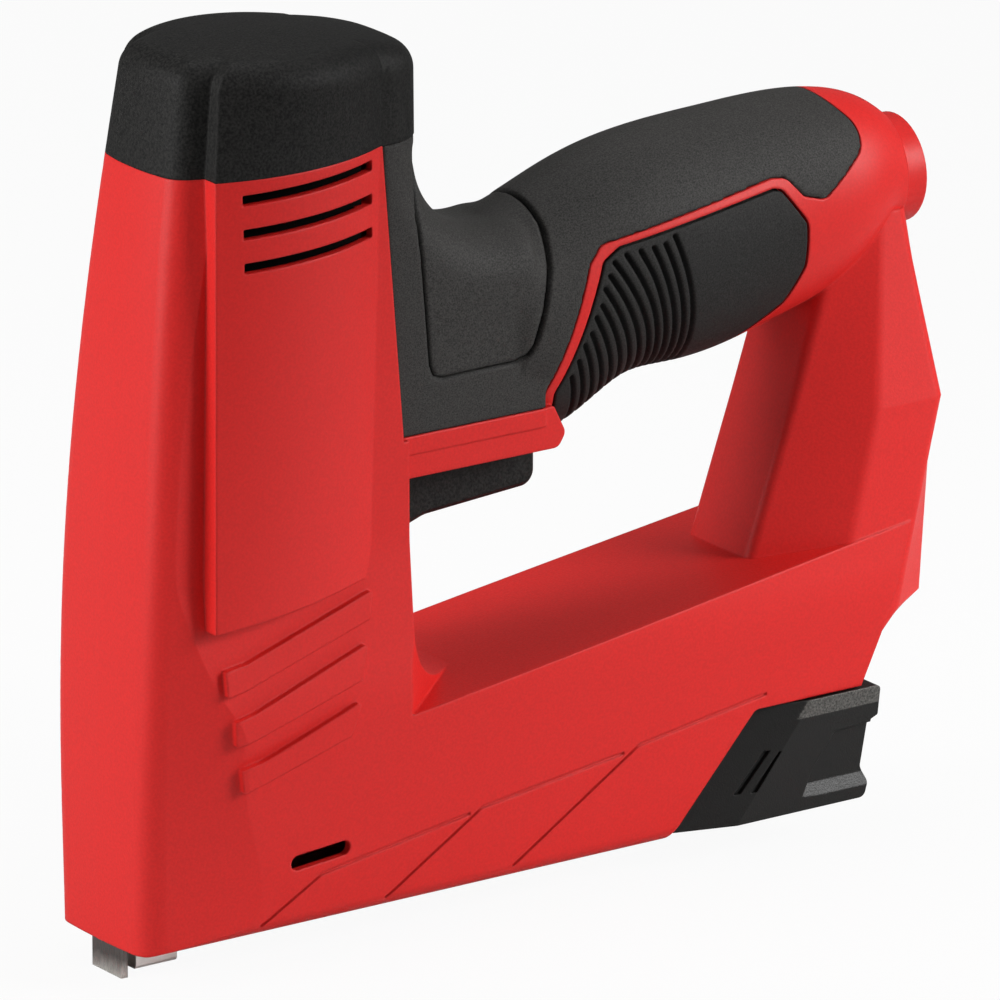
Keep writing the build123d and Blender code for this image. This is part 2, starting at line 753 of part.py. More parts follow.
def armature():
    """Iron core with the thinner rod that reaches down through the yoke."""
    body = rod(solenoid_x, 0, core_low_z, core_top_z, armature_radius)
    body += rod(solenoid_x, 0, carrier_top_z, core_low_z, push_rod_radius)
    return body - rod(solenoid_x, 0, carrier_top_z - 1, carrier_top_z + 9, carrier_screw_radius)


def solenoid_yoke():
    """Closed iron frame round the coil."""
    near, far = solenoid_x - yoke_depth / 2, solenoid_x + yoke_depth / 2
    body = block(near, far, -yoke_half, yoke_half, yoke_low_z, yoke_top_z)
    inner = yoke_half - yoke_side
    body -= block(near - 1, far + 1, -inner, inner, bobbin_low_z, bobbin_top_z)
    body -= rod(solenoid_x, 0, bobbin_low_z, FAR, armature_radius + armature_fit)
    return body - rod(solenoid_x, 0, 0, bobbin_low_z + 1, push_rod_radius + armature_fit)


def coil_bobbin():
    bore = armature_radius + armature_fit
    body = rod(solenoid_x, 0, bobbin_low_z, bobbin_top_z, bore + bobbin_wall)
    for z in (bobbin_low_z, bobbin_top_z - bobbin_flange):
        body += rod(solenoid_x, 0, z, z + bobbin_flange, bobbin_flange_radius)
    return body - rod(solenoid_x, 0, bobbin_low_z - 1, bobbin_top_z + 1, bore)


def coil_winding():
    low, high = bobbin_low_z + bobbin_flange, bobbin_top_z - bobbin_flange
    inner = armature_radius + armature_fit + bobbin_wall
    return rod(solenoid_x, 0, low, high, winding_radius) - rod(solenoid_x, 0, low - 1, high + 1, inner)


def channel_profile(half, top, sheet, low, x0, x1):
    """Upside-down U of bent sheet along X."""
    inner = half - sheet
    return block(x0, x1, -half, half, low, top) - block(x0 - 1, x1 + 1, -inner, inner, low - 1, top - sheet)


def magazine_channel():
    body = channel_profile(channel_half, channel_top_z, channel_sheet, bottom_z + wall + slide_fit,
                           guide_rear_x, channel_rear_x)
    return body - inspection_slot()


def staple_rail():
    """Rail that the staples straddle, slotted for the pusher's tongue."""
    body = channel_profile(rail_half, rail_top_z, rail_sheet, tray_top_z, rail_front_x, rail_rear_x)
    body += block(rail_front_x, rail_front_x + rail_sheet, -rail_half, rail_half, tray_top_z, rail_top_z)
    body -= block(tongue_front_x - 2, pusher_slot_rear_x, -tongue_half - slide_fit, tongue_half + slide_fit,
                  rail_top_z - rail_sheet - 1, rail_top_z + 1)
    return body - rod_x(0, rail_front_x + 2, 0, rod_z, rod_radius)


def magazine_tray():
    return block(guide_rear_x + slide_fit, tray_rear_x, -tray_half, tray_half, tray_low_z, tray_top_z)


def spring_rod():
    return rod_x(rail_front_x, rail_rear_x - 2, 0, rod_z, rod_radius)


def staple_pusher():
    """Saddle on the rail with a tongue that reaches the spring inside it."""
    outer = rail_half + slide_fit + pusher_sheet
    inner = rail_half - rail_sheet - slide_fit
    tongue_rear_x = tongue_front_x + tongue_thickness
    body = channel_profile(outer, rail_top_z + slide_fit + pusher_sheet, pusher_sheet, tray_top_z + 3,
                           pusher_front_x, pusher_front_x + pusher_length)
    body += block(tongue_front_x, tongue_rear_x, -tongue_half, tongue_half, rail_top_z - 4,
                  rail_top_z + slide_fit + 0.1)
    body += block(tongue_front_x, tongue_rear_x, -inner, inner, tray_top_z + slide_fit + 1,
                  rail_top_z - rail_sheet - slide_fit - 1)
    return body - rod_x(0, FAR, 0, rod_z, rod_radius + slide_fit)


def pusher_spring():
    start = tongue_front_x + tongue_thickness
    return Pos(start, 0, rod_z) * Rot(0, 90, 0) * coil(
        plug_front_x - start, pusher_spring_radius, pusher_spring_wire, pusher_spring_turns)


# Rear edge of the magazine's end from the top down, and the recess in its sides
MAGAZINE_REAR = [(191.6, 35.2), (190.8, 28.4), (188.9, 27.6), (186.8, 16.6), (188.2, 13.2), (187.2, 9.6)]
MAGAZINE_GROOVES = [[(160.2, 25.2), (161.8, 25.2), (153.8, 16.4), (152.2, 16.4)],
                    [(163.7, 24.8), (165.3, 24.8), (157.8, 16.4), (156.2, 16.4)]]
MAGAZINE_RECESS = [(179.0, 26.6), (195.0, 27.3), (195.0, 11.2), (186.8, 11.5), (170.1, 13.0), (172.9, 19.0)]


def magazine_bevels():
    """Wedges that bevel the slanted front and the top edge on both sides, and the recess."""
    run, rise = magazine_cut_top_x - magazine_cut_low_x, magazine_cut_z - magazine_low_z
    slant = Plane(origin=(magazine_cut_low_x, 0, magazine_low_z), x_dir=(0, 1, 0), z_dir=(run, 0, rise))
    side = magazine_half - magazine_bevel_depth
    wedge = Polygon((side, 0), (side, 1), (40, 1), (40, -magazine_bevel_width),
                    (magazine_half, -magazine_bevel_width), align=None)
    top = magazine_cut_z - magazine_gap
    side = magazine_half - magazine_top_bevel_depth
    low = top - magazine_top_bevel_height
    edge = Polygon((side, top), (side, top + 5), (40, top + 5), (40, low), (magazine_half, low), align=None)
    side = magazine_half - magazine_recess
    floor = Polygon((side, 40), (side, 15.4), (magazine_half, 12.4), (40, 12.4), (40, 40), align=None)
    recess = extrude(Plane.YZ * floor, amount=FAR) & side_area(MAGAZINE_RECESS)
    deeper = Pos(0, -magazine_groove_depth, 0) * extrude(slant * wedge, amount=60, both=True)
    right = [extrude(slant * wedge, amount=60, both=True), extrude(Plane.YZ * edge, amount=FAR), recess]
    right += [deeper & side_area(groove) for groove in MAGAZINE_GROOVES]
    return right + [mirror(tool, Plane.XZ) for tool in right]


def magazine_grip():
    """Black end of the magazine with bevelled sides, holding the rail and its rod."""
    slope = (magazine_cut_top_x - magazine_cut_low_x) / (magazine_cut_z - magazine_low_z)
    front = magazine_cut_low_x + 2 * magazine_gap
    top = magazine_cut_z - magazine_gap
    points = [(front, magazine_low_z), (front + slope * (top - magazine_low_z), top), *MAGAZINE_REAR]
    body = side_prism(outline(points, [0, 0, 1.0, 0.5, 0.5, 1.5, 1.5, 1.8]), magazine_half)
    for tool in magazine_bevels():
        body -= tool
    body -= block(0, rail_rear_x, -rail_half, rail_half, 0, rail_top_z)
    body -= block(0, tray_rear_x, -tray_half, tray_half, 0, tray_top_z)
    body += block(plug_front_x, rail_rear_x, -rail_half + rail_sheet, rail_half - rail_sheet, tray_top_z,
                  rail_top_z - rail_sheet)
    body -= rod_x(0, rail_rear_x - 2, 0, rod_z, rod_radius)
    return body - release_space()


def release_shape(grow=0.0, forward=0.0):
    """Release button with its shank and hook; grown, it is the space it moves in."""
    front = release_front_x - forward - grow
    side, tall = release_half + grow, release_height / 2 + grow
    button = block(release_face_x - forward - grow, magazine_rear_x + release_proud + grow, -side, side,
                   release_z - tall, release_z + tall)
    side, tall = shank_half + grow, shank_height / 2 + grow
    shank = block(front, release_face_x + 1, -side, side, release_z - tall, release_z + tall)
    hook = block(front, release_front_x + hook_length + grow, -side, side, release_z,
                 magazine_cut_z - magazine_gap + grow)
    return button + shank + hook


def release_space():
    """Room in the magazine's end for the release and its spring."""
    radius = release_spring_radius + 2 * release_spring_wire
    spring = rod_x(release_spring_front_x, release_face_x, 0, release_z, radius)
    return release_shape(slide_fit, release_travel) + spring


def trigger():
    """Finger trigger, kept in by a flange above the guard's floor."""
    points = [(trigger_front_x, trigger_top_z), (trigger_front_x, trigger_low_z - 3.2),
              (trigger_front_x + 7, trigger_low_z - 0.8), (trigger_rear_x, trigger_low_z + 1.2),
              (trigger_rear_x, trigger_top_z)]
    body = side_prism(outline(points, [0, 2.5, 8, 3.5, 0]), trigger_half)
    rims = body.edges().filter_by(lambda e: abs(abs(e.center().Y) - trigger_half) < 0.01
                                  and e.center().Z < guard_low_z)
    rims = rims.filter_by(lambda e: e.length < 60 and not (e.center().Z > trigger_low_z + 9))
    body = chamfer(rims, 1.2)
    floor = guard_low_z + wall + slide_fit
    body += block(trigger_front_x + 1, trigger_rear_x - 1, -trigger_flange_half, trigger_flange_half, floor,
                  floor + trigger_flange)
    spring_hole = trigger_spring_radius + 1.0
    return body - rod(trigger_spring_x, 0, trigger_spring_low_z, trigger_top_z + 1, spring_hole)


def trigger_switch():
    rear = switch_front_x + switch_length
    body = block(switch_front_x, rear, -switch_half, switch_half, switch_low_z, switch_top_z)
    return body - rod(plunger_x, 0, switch_low_z - 1, switch_top_z - 1.5, plunger_radius + 0.3)


def rocker_frame():
    """Frame of the power switch in the back of the strut."""
    end = rocker_frame_height / 2
    body = block(rocker_x - rocker_frame_depth, rocker_x + rocker_frame_proud, -rocker_frame_half,
                 rocker_frame_half, rocker_z - end, rocker_z + end)
    side, end = rocker_half + slide_fit, rocker_height / 2 + 1.5
    body -= block(rocker_x - 8, FAR, -side, side, rocker_z - end, rocker_z + end)
    return body - rod_y(rocker_pin_x, rocker_z, -side - 1, side + 1, rocker_pin_radius + slide_fit)


def power_rocker():
    """Rocker on a pin across the frame, its lower end out when off."""
    low, high = rocker_z - rocker_height / 2, rocker_z + rocker_height / 2
    points = [(rocker_x - 4, rocker_z - 4.5), (rocker_x - 4, rocker_z + 4.5), (rocker_x + 1.4, high),
              (rocker_x + 2.2, high - 1), (rocker_x + 1.8, rocker_z), (rocker_x + 4.4, low + 0.8),
              (rocker_x + 3.6, low)]
    pin = rod_y(rocker_pin_x, rocker_z, -rocker_half - 0.9, rocker_half + 0.9, rocker_pin_radius)
    return side_prism(outline(points, 0.4), rocker_half) + pin


def on_board(x0, x1, y0, y1, height):
    top = board_z + board_thickness
    return block(x0, x1, y0, y1, top, top + height)


def capacitors():
    top = board_z + board_thickness
    places = [board_front_x + 10 + i * capacitor_pitch for i in range(2)]
    return [rod(x, -4, top, top + capacitor_height, capacitor_radius) for x in places]


def heat_sink():
    x = board_front_x + 36
    fins = [on_board(x, x + 14, y, y + 1.2, 13) for y in (4.0, 7.0, 10.0)]
    return on_board(x, x + 14, 2.0, 12.2, 2) + fins[0] + fins[1] + fins[2]


def housing_screws():
    """Screws driven from the right side, each with a crossed recess in its head."""
    screws = []
    for x, z in screw_places:
        body = rod_y(x, z, -screw_depth + 1, screw_seat_y, screw_radius)
        body += rod_y(x, z, screw_seat_y, screw_seat_y + screw_head_height, screw_head_radius)
        top = screw_seat_y + screw_head_height
        body -= block(x - 2, x + 2, top - 1, top + 1, z - 0.4, z + 0.4)
        screws.append(body - block(x - 0.4, x + 0.4, top - 1, top + 1, z - 2, z + 2))
    return screws


def contact_springs():
    x = (ear_front_x + ear_rear_x) / 2
    length = contact_seat_z - ear_top_z
    spring = coil(length, contact_spring_radius, contact_spring_wire, contact_spring_turns)
    return [Pos(x, y, ear_top_z) * spring for y in (-contact_spring_y, contact_spring_y)]


def upright_spring(x, low, high, radius, wire, turns):
    return Pos(x, 0, low) * coil(high - low, radius, wire, turns)


skin_layer = soft_skin()
left_half = block(-60, FAR, -60, 0, -10, FAR)
right_half = block(-60, FAR, 0, 60, -10, FAR)
head_hole = screw_head_radius + screw_clearance
counterbores = Compound([rod_y(x, z, screw_seat_y, 60, head_hole) for x, z in screw_places])
grips = skin_layer & side_area(GRIP_AREA, GRIP_ROUNDS)
pads = skin_layer & side_area(PAD_AREA, PAD_ROUNDS)

outer_body = (frame_body(0) + strut_body(0) + handle_body(0) + neck_body(0) + bulge_body(0, cap_line_z)
              + guard_body(0) + boss_body(0))
cavity = (frame_body(wall) + strut_body(wall) + handle_body(skin + wall) + neck_body(skin + wall)
          + bulge_body(wall, cap_line_z - wall) + guard_body(wall))
for piece in shell_inside():
    cavity -= piece
shell = outer_body + raised_ribs() - grips - pads - cavity
shell += cap_lip_ring() - grips
for cut in shell_cuts():
    shell -= cut

nodes = {
    "left_shell": shell & left_half,
    "right_shell": shell & right_half,
    "left_grip": grips & left_half,
    "right_grip": grips & right_half - counterbores,
    "left_pad": pads & left_half,
    "right_pad": pads & right_half - counterbores,
    "top_cap": top_cap(),
    "top_buffer": rod(solenoid_x, 0, buffer_low_z, buffer_low_z + buffer_height, buffer_radius),
    "lower_bumper": rod(solenoid_x, 0, bumper_low_z, bumper_top_z, bumper_radius)
                    - rod(solenoid_x, 0, 0, FAR, bumper_hole_radius),
    "nose_contact": nose_contact(),
    "contact_springs": contact_springs(),
    "contact_switch": block(contact_switch_x, contact_switch_x + contact_switch_length, contact_switch_y,
                            contact_switch_y + contact_switch_width, contact_switch_z(),
                            contact_switch_z() + contact_switch_height),
    "nose_guide": nose_guide(),
    "driver_blade": driver_blade(),
    "driver_carrier": driver_carrier(),
    "carrier_screw": carrier_screw(),
    "armature": armature(),
    "armature_head": rod(solenoid_x, 0, core_top_z, head_top_z, head_radius),
    "return_spring": upright_spring(solenoid_x, yoke_top_z, core_top_z, return_spring_radius,
                                    return_spring_wire, return_spring_turns),
    "solenoid_yoke": solenoid_yoke(),
    "coil_bobbin": coil_bobbin(),
    "coil_winding": coil_winding(),
    "magazine_channel": magazine_channel(),
    "staple_rail": staple_rail(),
    "magazine_tray": magazine_tray(),
    "spring_rod": spring_rod(),
    "staple_pusher": staple_pusher(),
    "pusher_spring": pusher_spring(),
    "magazine_grip": magazine_grip(),
    "magazine_release": release_shape(),
    "release_spring": Pos(release_spring_front_x, 0, release_z) * Rot(0, 90, 0) * coil(
        release_face_x - release_spring_front_x, release_spring_radius, release_spring_wire,
        release_spring_turns),
    "trigger": trigger(),
    "trigger_spring": upright_spring(trigger_spring_x, trigger_spring_low_z, trigger_spring_top_z,
                                     trigger_spring_radius, trigger_spring_wire, trigger_spring_turns),
    "trigger_switch": trigger_switch(),
    "switch_plunger": rod(plunger_x, 0, trigger_top_z, trigger_top_z + plunger_length, plunger_radius),
    "rocker_frame": rocker_frame(),
    "power_rocker": power_rocker(),
    "circuit_board": block(board_front_x, board_front_x + board_length, -board_half, board_half, board_z,
                           board_z + board_thickness),
    "capacitors": capacitors(),
    "power_thyristor": on_board(board_front_x + 30, board_front_x + 35.7, 2.0, 12.0, 12),
    "heat_sink": heat_sink(),
    "terminal_block": on_board(board_front_x + 44, board_front_x + 54, -12, -2, 9),
    "housing_screws": housing_screws(),
}

os.makedirs("parts", exist_ok=True)
for name, shape in nodes.items():
    export_step(Compound(children=list(shape)) if isinstance(shape, list) else shape, f"parts/{name}.step")
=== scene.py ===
"""Looks of a corded staple gun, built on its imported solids."""

import json
import math

import bmesh
import bpy
import numpy as np
from bpy.props import FloatProperty, FloatVectorProperty, IntProperty, PointerProperty
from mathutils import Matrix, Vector
from mathutils.bvhtree import BVHTree

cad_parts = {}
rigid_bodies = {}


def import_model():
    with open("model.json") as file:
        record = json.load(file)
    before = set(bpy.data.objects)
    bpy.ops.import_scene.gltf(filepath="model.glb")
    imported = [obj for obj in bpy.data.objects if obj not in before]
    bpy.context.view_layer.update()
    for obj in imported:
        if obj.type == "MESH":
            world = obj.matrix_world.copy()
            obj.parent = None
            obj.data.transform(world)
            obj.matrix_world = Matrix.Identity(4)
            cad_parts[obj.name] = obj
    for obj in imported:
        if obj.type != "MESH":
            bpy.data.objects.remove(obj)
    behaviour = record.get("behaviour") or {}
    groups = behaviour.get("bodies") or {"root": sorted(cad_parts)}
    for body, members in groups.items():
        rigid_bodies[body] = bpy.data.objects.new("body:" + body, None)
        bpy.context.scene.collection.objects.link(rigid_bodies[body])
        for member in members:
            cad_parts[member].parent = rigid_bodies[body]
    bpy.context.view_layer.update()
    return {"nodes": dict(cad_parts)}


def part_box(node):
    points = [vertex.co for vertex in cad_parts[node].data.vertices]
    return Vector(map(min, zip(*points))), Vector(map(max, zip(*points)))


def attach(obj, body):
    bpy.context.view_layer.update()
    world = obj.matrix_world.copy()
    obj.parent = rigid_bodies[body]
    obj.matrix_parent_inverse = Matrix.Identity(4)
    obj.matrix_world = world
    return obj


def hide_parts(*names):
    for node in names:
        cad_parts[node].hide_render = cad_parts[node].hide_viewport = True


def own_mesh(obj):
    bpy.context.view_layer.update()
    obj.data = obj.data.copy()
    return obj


for leftover in list(bpy.data.objects):
    bpy.data.objects.remove(leftover)
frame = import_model()
NODES = frame["nodes"]

bl_info = {
    "name": "Staple gun looks",
    "version": (1, 0, 0),
    "blender": (4, 5, 0),
    "location": "3D View > Sidebar > Staple gun",
    "description": "Dresses the staple gun's solids with soft grips, fasteners, springs and finishes",
    "category": "Object",
}

MM = 0.001

# The handle, in millimetres: distance from the nose, lowest and highest point
HANDLE_LINE = [(98, 104.6, 156.8), (106, 103.8, 159.0), (117, 105.6, 163.2), (131, 112.8, 167.0),
               (146, 113.8, 168.9), (160, 115.4, 169.6), (172, 118.4, 170.0), (184, 121.8, 169.6)]
# Outlines drawn in X and Z, in millimetres: palm pad, and the sunk panel of the neck grip
PAD_OUTLINE = [(110.4, 102.0), (107.6, 110.6), (106.6, 117.0), (118.3, 145.6), (122.6, 148.2),
               (164.4, 154.3), (166.8, 153.8), (173.2, 145.4), (173.6, 135.0), (170.2, 126.0),
               (162.0, 119.0), (160.0, 102.0)]
PANEL_OUTLINE = [(70.2, 164.0), (71.5, 178.0), (88.0, 180.0), (100.0, 172.0), (104.0, 165.0),
                 (106.6, 158.0), (107.0, 153.5), (105.6, 145.4), (102.9, 136.6), (100.3, 129.4),
                 (98.6, 127.3), (95.8, 126.3), (76.5, 126.0), (74.2, 126.8), (73.2, 129.3), (72.3, 140.0)]
PANEL_ROUNDS = 40           # rounds of smoothing inside the panel
RIM_DEPTH = RIM_WIDTH = 0.0008
# Finger grooves: where the rearmost one crosses the pad, in millimetres, and the angles round the handle
GROOVE_FIRST = 141.5
GROOVE_ANGLES = np.radians(np.arange(34, -91, -3))
GROOVE_TILT = 0.35          # radians below the horizontal at which a groove crosses its middle
GROOVE_FAN = 5.2            # millimetres per radian that a groove leans, for the rearmost one
GROOVE_FAN_GAIN = 3.4       # added to the lean over the first grooves
GROOVE_FAN_STEPS = 5        # grooves over which it is added
GROOVE_BEND = 1.4           # millimetres per radian squared
GROOVE_MARGIN = 1.9         # millimetres kept free along the pad's outline
# Screws on the far side: places in X and Z, in millimetres, then the seat of their heads in Y and sizes
SCREW_PLACES = [(19, 34), (60, 66), (57, 168), (122, 142), (187, 147), (189, 64), (146, 50)]
SCREW_SEAT = 0.010
SCREW_SHANK = 0.0015
SCREW_TIP = 0.0012          # length of the pointed end
SCREW_HEIGHT = 0.0021       # of the head
# Near-black sheets behind the vent slots, painted shade for the housing's dark inside: corners in X and Z,
# distance from the middle, thickness
VENT_LOW, VENT_HIGH = Vector((0.024, 0, 0.158)), Vector((0.0545, 0, 0.1805))
VENT_SIDE, VENT_THICK = 0.0182, 0.0006
# Painted highlight strip along the top of the magazine's end, standing for the light on its bevel: where it
# begins along each axis
HIGHLIGHT_BAND_X, HIGHLIGHT_BAND_Y, HIGHLIGHT_BAND_Z = 0.1655, 0.0224, 0.0311
# Node, body, turns, wire radius in millimetres, axis, joint, travel in millimetres, held at its high end
SPRINGS = (("return_spring", "housing", 6, 0.6, 2, "driver_stroke", 25, False),
           ("trigger_spring", "housing", 6, 0.35, 2, "trigger_press", 5, True),
           ("pusher_spring", "magazine", 26, 0.3, 0, "pusher_slide", 80, True),
           ("release_spring", "magazine", 4, 0.3, 0, "release_press", 3, False),
           ("contact_springs", "housing", 5, 0.25, 2, "contact_press", 3, True))
# Name, place, size, power, spread in degrees, and the point it is aimed at
SOFTBOXES = (("left_softbox", (-1.25, 0.25, 0.6), 0.8, 18.8, 180, (0.1, 0.0, 0.1)),
             ("right_softbox", (0.80, -0.66, 0.46), 0.5, 1.3, 50, (0.20, 0.0, -0.03)),
             ("top_softbox", (0.25, 0.2, 1.3), 0.7, 4.6, 180, (0.1, 0.0, 0.1)))
FLOOR_REACH = 6.0
FLOOR_GLOW = 0.94           # share of the floor's white that only the camera sees
SENSOR = 36.0
TARGET = Vector((0.105, 0, 0.105))
AIM_SHIFT = (-0.00488, -0.07175)    # shares of the picture's width by which the aim is moved right and up


class HousingLook(bpy.types.PropertyGroup):
    """Moulded plastic of the housing"""
    red: FloatVectorProperty(name="Red", description="Colour of the housing", subtype="COLOR",
                             size=4, default=(0.63, 0.016, 0.014, 1), min=0, max=1)
    black: FloatVectorProperty(name="Black", description="Colour of cap, trigger and magazine end",
                               subtype="COLOR", size=4, default=(0.0085, 0.0082, 0.0076, 1), min=0, max=1)
    edge_round: FloatProperty(name="Edge round", description="Radius of the moulded edges",
                              unit="LENGTH", default=0.0008, min=0, max=0.003)
    grain: FloatProperty(name="Grain depth", description="Depth of the moulding's grain",
                         unit="LENGTH", default=0.00003, min=0, max=0.0005)


class GripLook(bpy.types.PropertyGroup):
    """Soft grips and palm pads"""
    rubber: FloatVectorProperty(name="Rubber", description="Colour of the soft grips", subtype="COLOR",
                                size=4, default=(0.030, 0.0285, 0.027, 1), min=0, max=1)
    fineness: FloatProperty(name="Fineness", description="Edge length of the soft meshes",
                            unit="LENGTH", default=0.00055, min=0.0003, max=0.002)
    panel_depth: FloatProperty(name="Panel depth", description="How far the neck's panel is sunk",
                               unit="LENGTH", default=0.0016, min=0, max=0.002)
    groove_count: IntProperty(name="Grooves", description="Finger grooves in each palm pad",
                              default=14, min=1, max=24)
    groove_pitch: FloatProperty(name="Groove pitch", description="Distance between two grooves",
                                unit="LENGTH", default=0.00255, min=0.001, max=0.006)
    groove_width: FloatProperty(name="Groove width", description="Half width of a groove",
                                unit="LENGTH", default=0.00070, min=0.0002, max=0.003)
    groove_depth: FloatProperty(name="Groove depth", description="Depth of a groove",
                                unit="LENGTH", default=0.0012, min=0, max=0.0015)


class MetalLook(bpy.types.PropertyGroup):
    """Bright and working metal"""
    nickel: FloatVectorProperty(name="Nickel", description="Colour of the nose plates", subtype="COLOR",
                                size=4, default=(0.78, 0.76, 0.72, 1), min=0, max=1)
    steel: FloatVectorProperty(name="Steel", description="Colour of the machined steel", subtype="COLOR",
                               size=4, default=(0.42, 0.42, 0.43, 1), min=0, max=1)
    wire_turns: IntProperty(name="Wire turns", description="Turns of wire that show on the coil",
                            default=58, min=10, max=120)
    screw_head: FloatProperty(name="Screw head", description="Radius of a screw's head",
                              unit="LENGTH", default=0.0031, min=0.001, max=0.005)
    seed: IntProperty(name="Seed", description="Seed of the screws' turn", default=7, min=0)


class StageLook(bpy.types.PropertyGroup):
    """Floor, light and camera"""
    azimuth: FloatProperty(name="Azimuth", description="Camera's direction round the object",
                           subtype="ANGLE", default=math.radians(-35.0))
    elevation: FloatProperty(name="Elevation", description="Camera's height above the horizon",
                             subtype="ANGLE", default=math.radians(17.5))
    distance: FloatProperty(name="Distance", description="Camera's distance", unit="LENGTH", default=3.0)
    lens: FloatProperty(name="Lens", description="Focal length in millimetres on a 36 mm sensor",
                        default=491.4, min=10, max=2000)
    floor: FloatVectorProperty(name="Floor", description="Colour of the floor", subtype="COLOR",
                               size=4, default=(0.55, 0.55, 0.55, 1), min=0, max=1)
    ambient: FloatProperty(name="Ambient", description="Strength of the light from all round",
                           default=0.20, min=0, max=2)


class Finish:
    """A material under construction: a Principled shader and what feeds it."""

    def __init__(self, name):
        self.material = bpy.data.materials.new(name)
        self.material.use_nodes = True
        self.nodes = self.material.node_tree.nodes
        self.links = self.material.node_tree.links
        self.shader = self.nodes["Principled BSDF"]
        self.coordinates = self.nodes.new("ShaderNodeTexCoord")

    def set(self, **values):
        """Plain values of the shader's inputs, by name with _ for a space."""
        for socket, value in values.items():
            self.shader.inputs[socket.replace("_", " ")].default_value = value
        return self

    def noise(self, scale, detail=2.0, stretch=(1, 1, 1)):
        """Noise on the piece's own coordinates; the scale is in patches per metre."""
        turn = self.nodes.new("ShaderNodeMapping")
        turn.inputs["Scale"].default_value = stretch
        self.links.new(self.coordinates.outputs["Object"], turn.inputs["Vector"])
        noise = self.nodes.new("ShaderNodeTexNoise")
        noise.inputs["Scale"].default_value = scale
        noise.inputs["Detail"].default_value = detail
        self.links.new(turn.outputs["Vector"], noise.inputs["Vector"])
        return noise.outputs["Fac"]

    def tone(self, factor, dark, light, low=0.35, high=0.65):
        """Base colour between two tones."""
        ramp = self.nodes.new("ShaderNodeValToRGB")
        self.ramp = ramp.color_ramp
        self.ramp.elements[0].position = low
        self.ramp.elements[1].position = high
        self.ramp.elements[0].color = dark
        self.ramp.elements[1].color = light
        self.links.new(factor, ramp.inputs["Fac"])
        self.links.new(ramp.outputs["Color"], self.shader.inputs["Base Color"])
        return self

    def rough(self, factor, low, high):
        """Roughness between two values."""
        spread = self.nodes.new("ShaderNodeMapRange")
        spread.inputs["From Min"].default_value = 0.3
        spread.inputs["From Max"].default_value = 0.7
        spread.inputs["To Min"].default_value = low
        spread.inputs["To Max"].default_value = high
        self.links.new(factor, spread.inputs["Value"])
        self.links.new(spread.outputs["Result"], self.shader.inputs["Roughness"])
        return self

    def relief(self, factor, depth, edge_round=0.0):
        """Grain of a depth in metres, on edges that are rounded."""
        bump = self.nodes.new("ShaderNodeBump")
        bump.inputs["Strength"].default_value = 1.0
        bump.inputs["Distance"].default_value = depth
        self.links.new(factor, bump.inputs["Height"])
        if edge_round:
            edge = self.nodes.new("ShaderNodeBevel")
            edge.samples = 6
            edge.inputs["Radius"].default_value = edge_round
            self.links.new(self.off_seam(edge.outputs["Normal"], edge_round), bump.inputs["Normal"])
        self.links.new(bump.outputs["Normal"], self.shader.inputs["Normal"])
        return self

    def along(self, axis, low, high):
        """Factor that rises from 0 to 1 along an axis of the piece's own coordinates, in metres."""
        axes = self.nodes.new("ShaderNodeSeparateXYZ")
        self.links.new(self.coordinates.outputs["Object"], axes.inputs["Vector"])
        rise = self.nodes.new("ShaderNodeMapRange")
        rise.inputs["From Min"].default_value = low
        rise.inputs["From Max"].default_value = high
        self.links.new(axes.outputs[axis], rise.inputs["Value"])
        return rise.outputs["Result"]

    def join(self, operation, *terms):
        """Result of one sum on factors and plain numbers."""
        node = self.nodes.new("ShaderNodeMath")
        node.operation = operation
        for socket, term in zip(node.inputs, terms):
            if isinstance(term, bpy.types.NodeSocket):
                self.links.new(term, socket)
            else:
                socket.default_value = term
        return node.outputs["Value"]

    def off_seam(self, rounded, reach):
        """Rounded normal, but the plain one where the two halves meet."""
        axes = self.nodes.new("ShaderNodeSeparateXYZ")
        self.links.new(self.coordinates.outputs["Object"], axes.inputs["Vector"])
        mix = self.nodes.new("ShaderNodeMix")
        mix.data_type = "VECTOR"
        self.links.new(self.join("COMPARE", axes.outputs["Y"], 0.0, reach), mix.inputs["Factor"])
        self.links.new(rounded, mix.inputs["A"])
        plain = self.nodes.new("ShaderNodeNewGeometry")
        self.links.new(plain.outputs["Normal"], mix.inputs["B"])
        return mix.outputs["Result"]


def shade(colour, factor):
    """The same colour, lighter or darker."""
    return tuple(min(1.0, c * factor) for c in colour[:3]) + (1.0,)


def moulded(name, colour, grain, rough, edge_round, spread=0.04, gloss=0.3):
    """Moulded plastic with a fine grain."""
    finish = Finish(name)
    fine = finish.noise(2600, 3)
    finish.tone(finish.noise(1700, 4), shade(colour, 1 - spread), shade(colour, 1 + spread))
    finish.rough(fine, rough - 0.05, rough + 0.07)
    finish.set(Specular_IOR_Level=gloss)
    return finish.relief(fine, grain, edge_round).material


def rubber(name, colour):
    """Soft matte rubber with a dusty grain, and painted shade in its grooves and steps, taken from the sunk
    attribute.
    """
    finish = Finish(name)
    fine = finish.noise(2400, 4)
    sunk = finish.nodes.new("ShaderNodeAttribute")
    sunk.attribute_name = "sunk"
    # Dust grain minus the sunk attribute: real dust, plus painted shade where grooves and steps are pressed
    # in.
    dust_and_groove_shade = finish.join("SUBTRACT", finish.noise(3000, 4), sunk.outputs["Fac"])
    finish.tone(dust_and_groove_shade, shade(colour, 0.6), shade(colour, 1.75), 0.36, 0.7)
    # Near-black stop, reached where sunk pulls the factor down: painted shade in grooves and steps.
    groove = finish.ramp.elements.new(0.1)
    groove.color = shade(colour, 0.2)
    finish.rough(fine, 0.58, 0.76)
    finish.set(Specular_IOR_Level=0.24)
    return finish.relief(fine, 0.00005, 0.0005).material


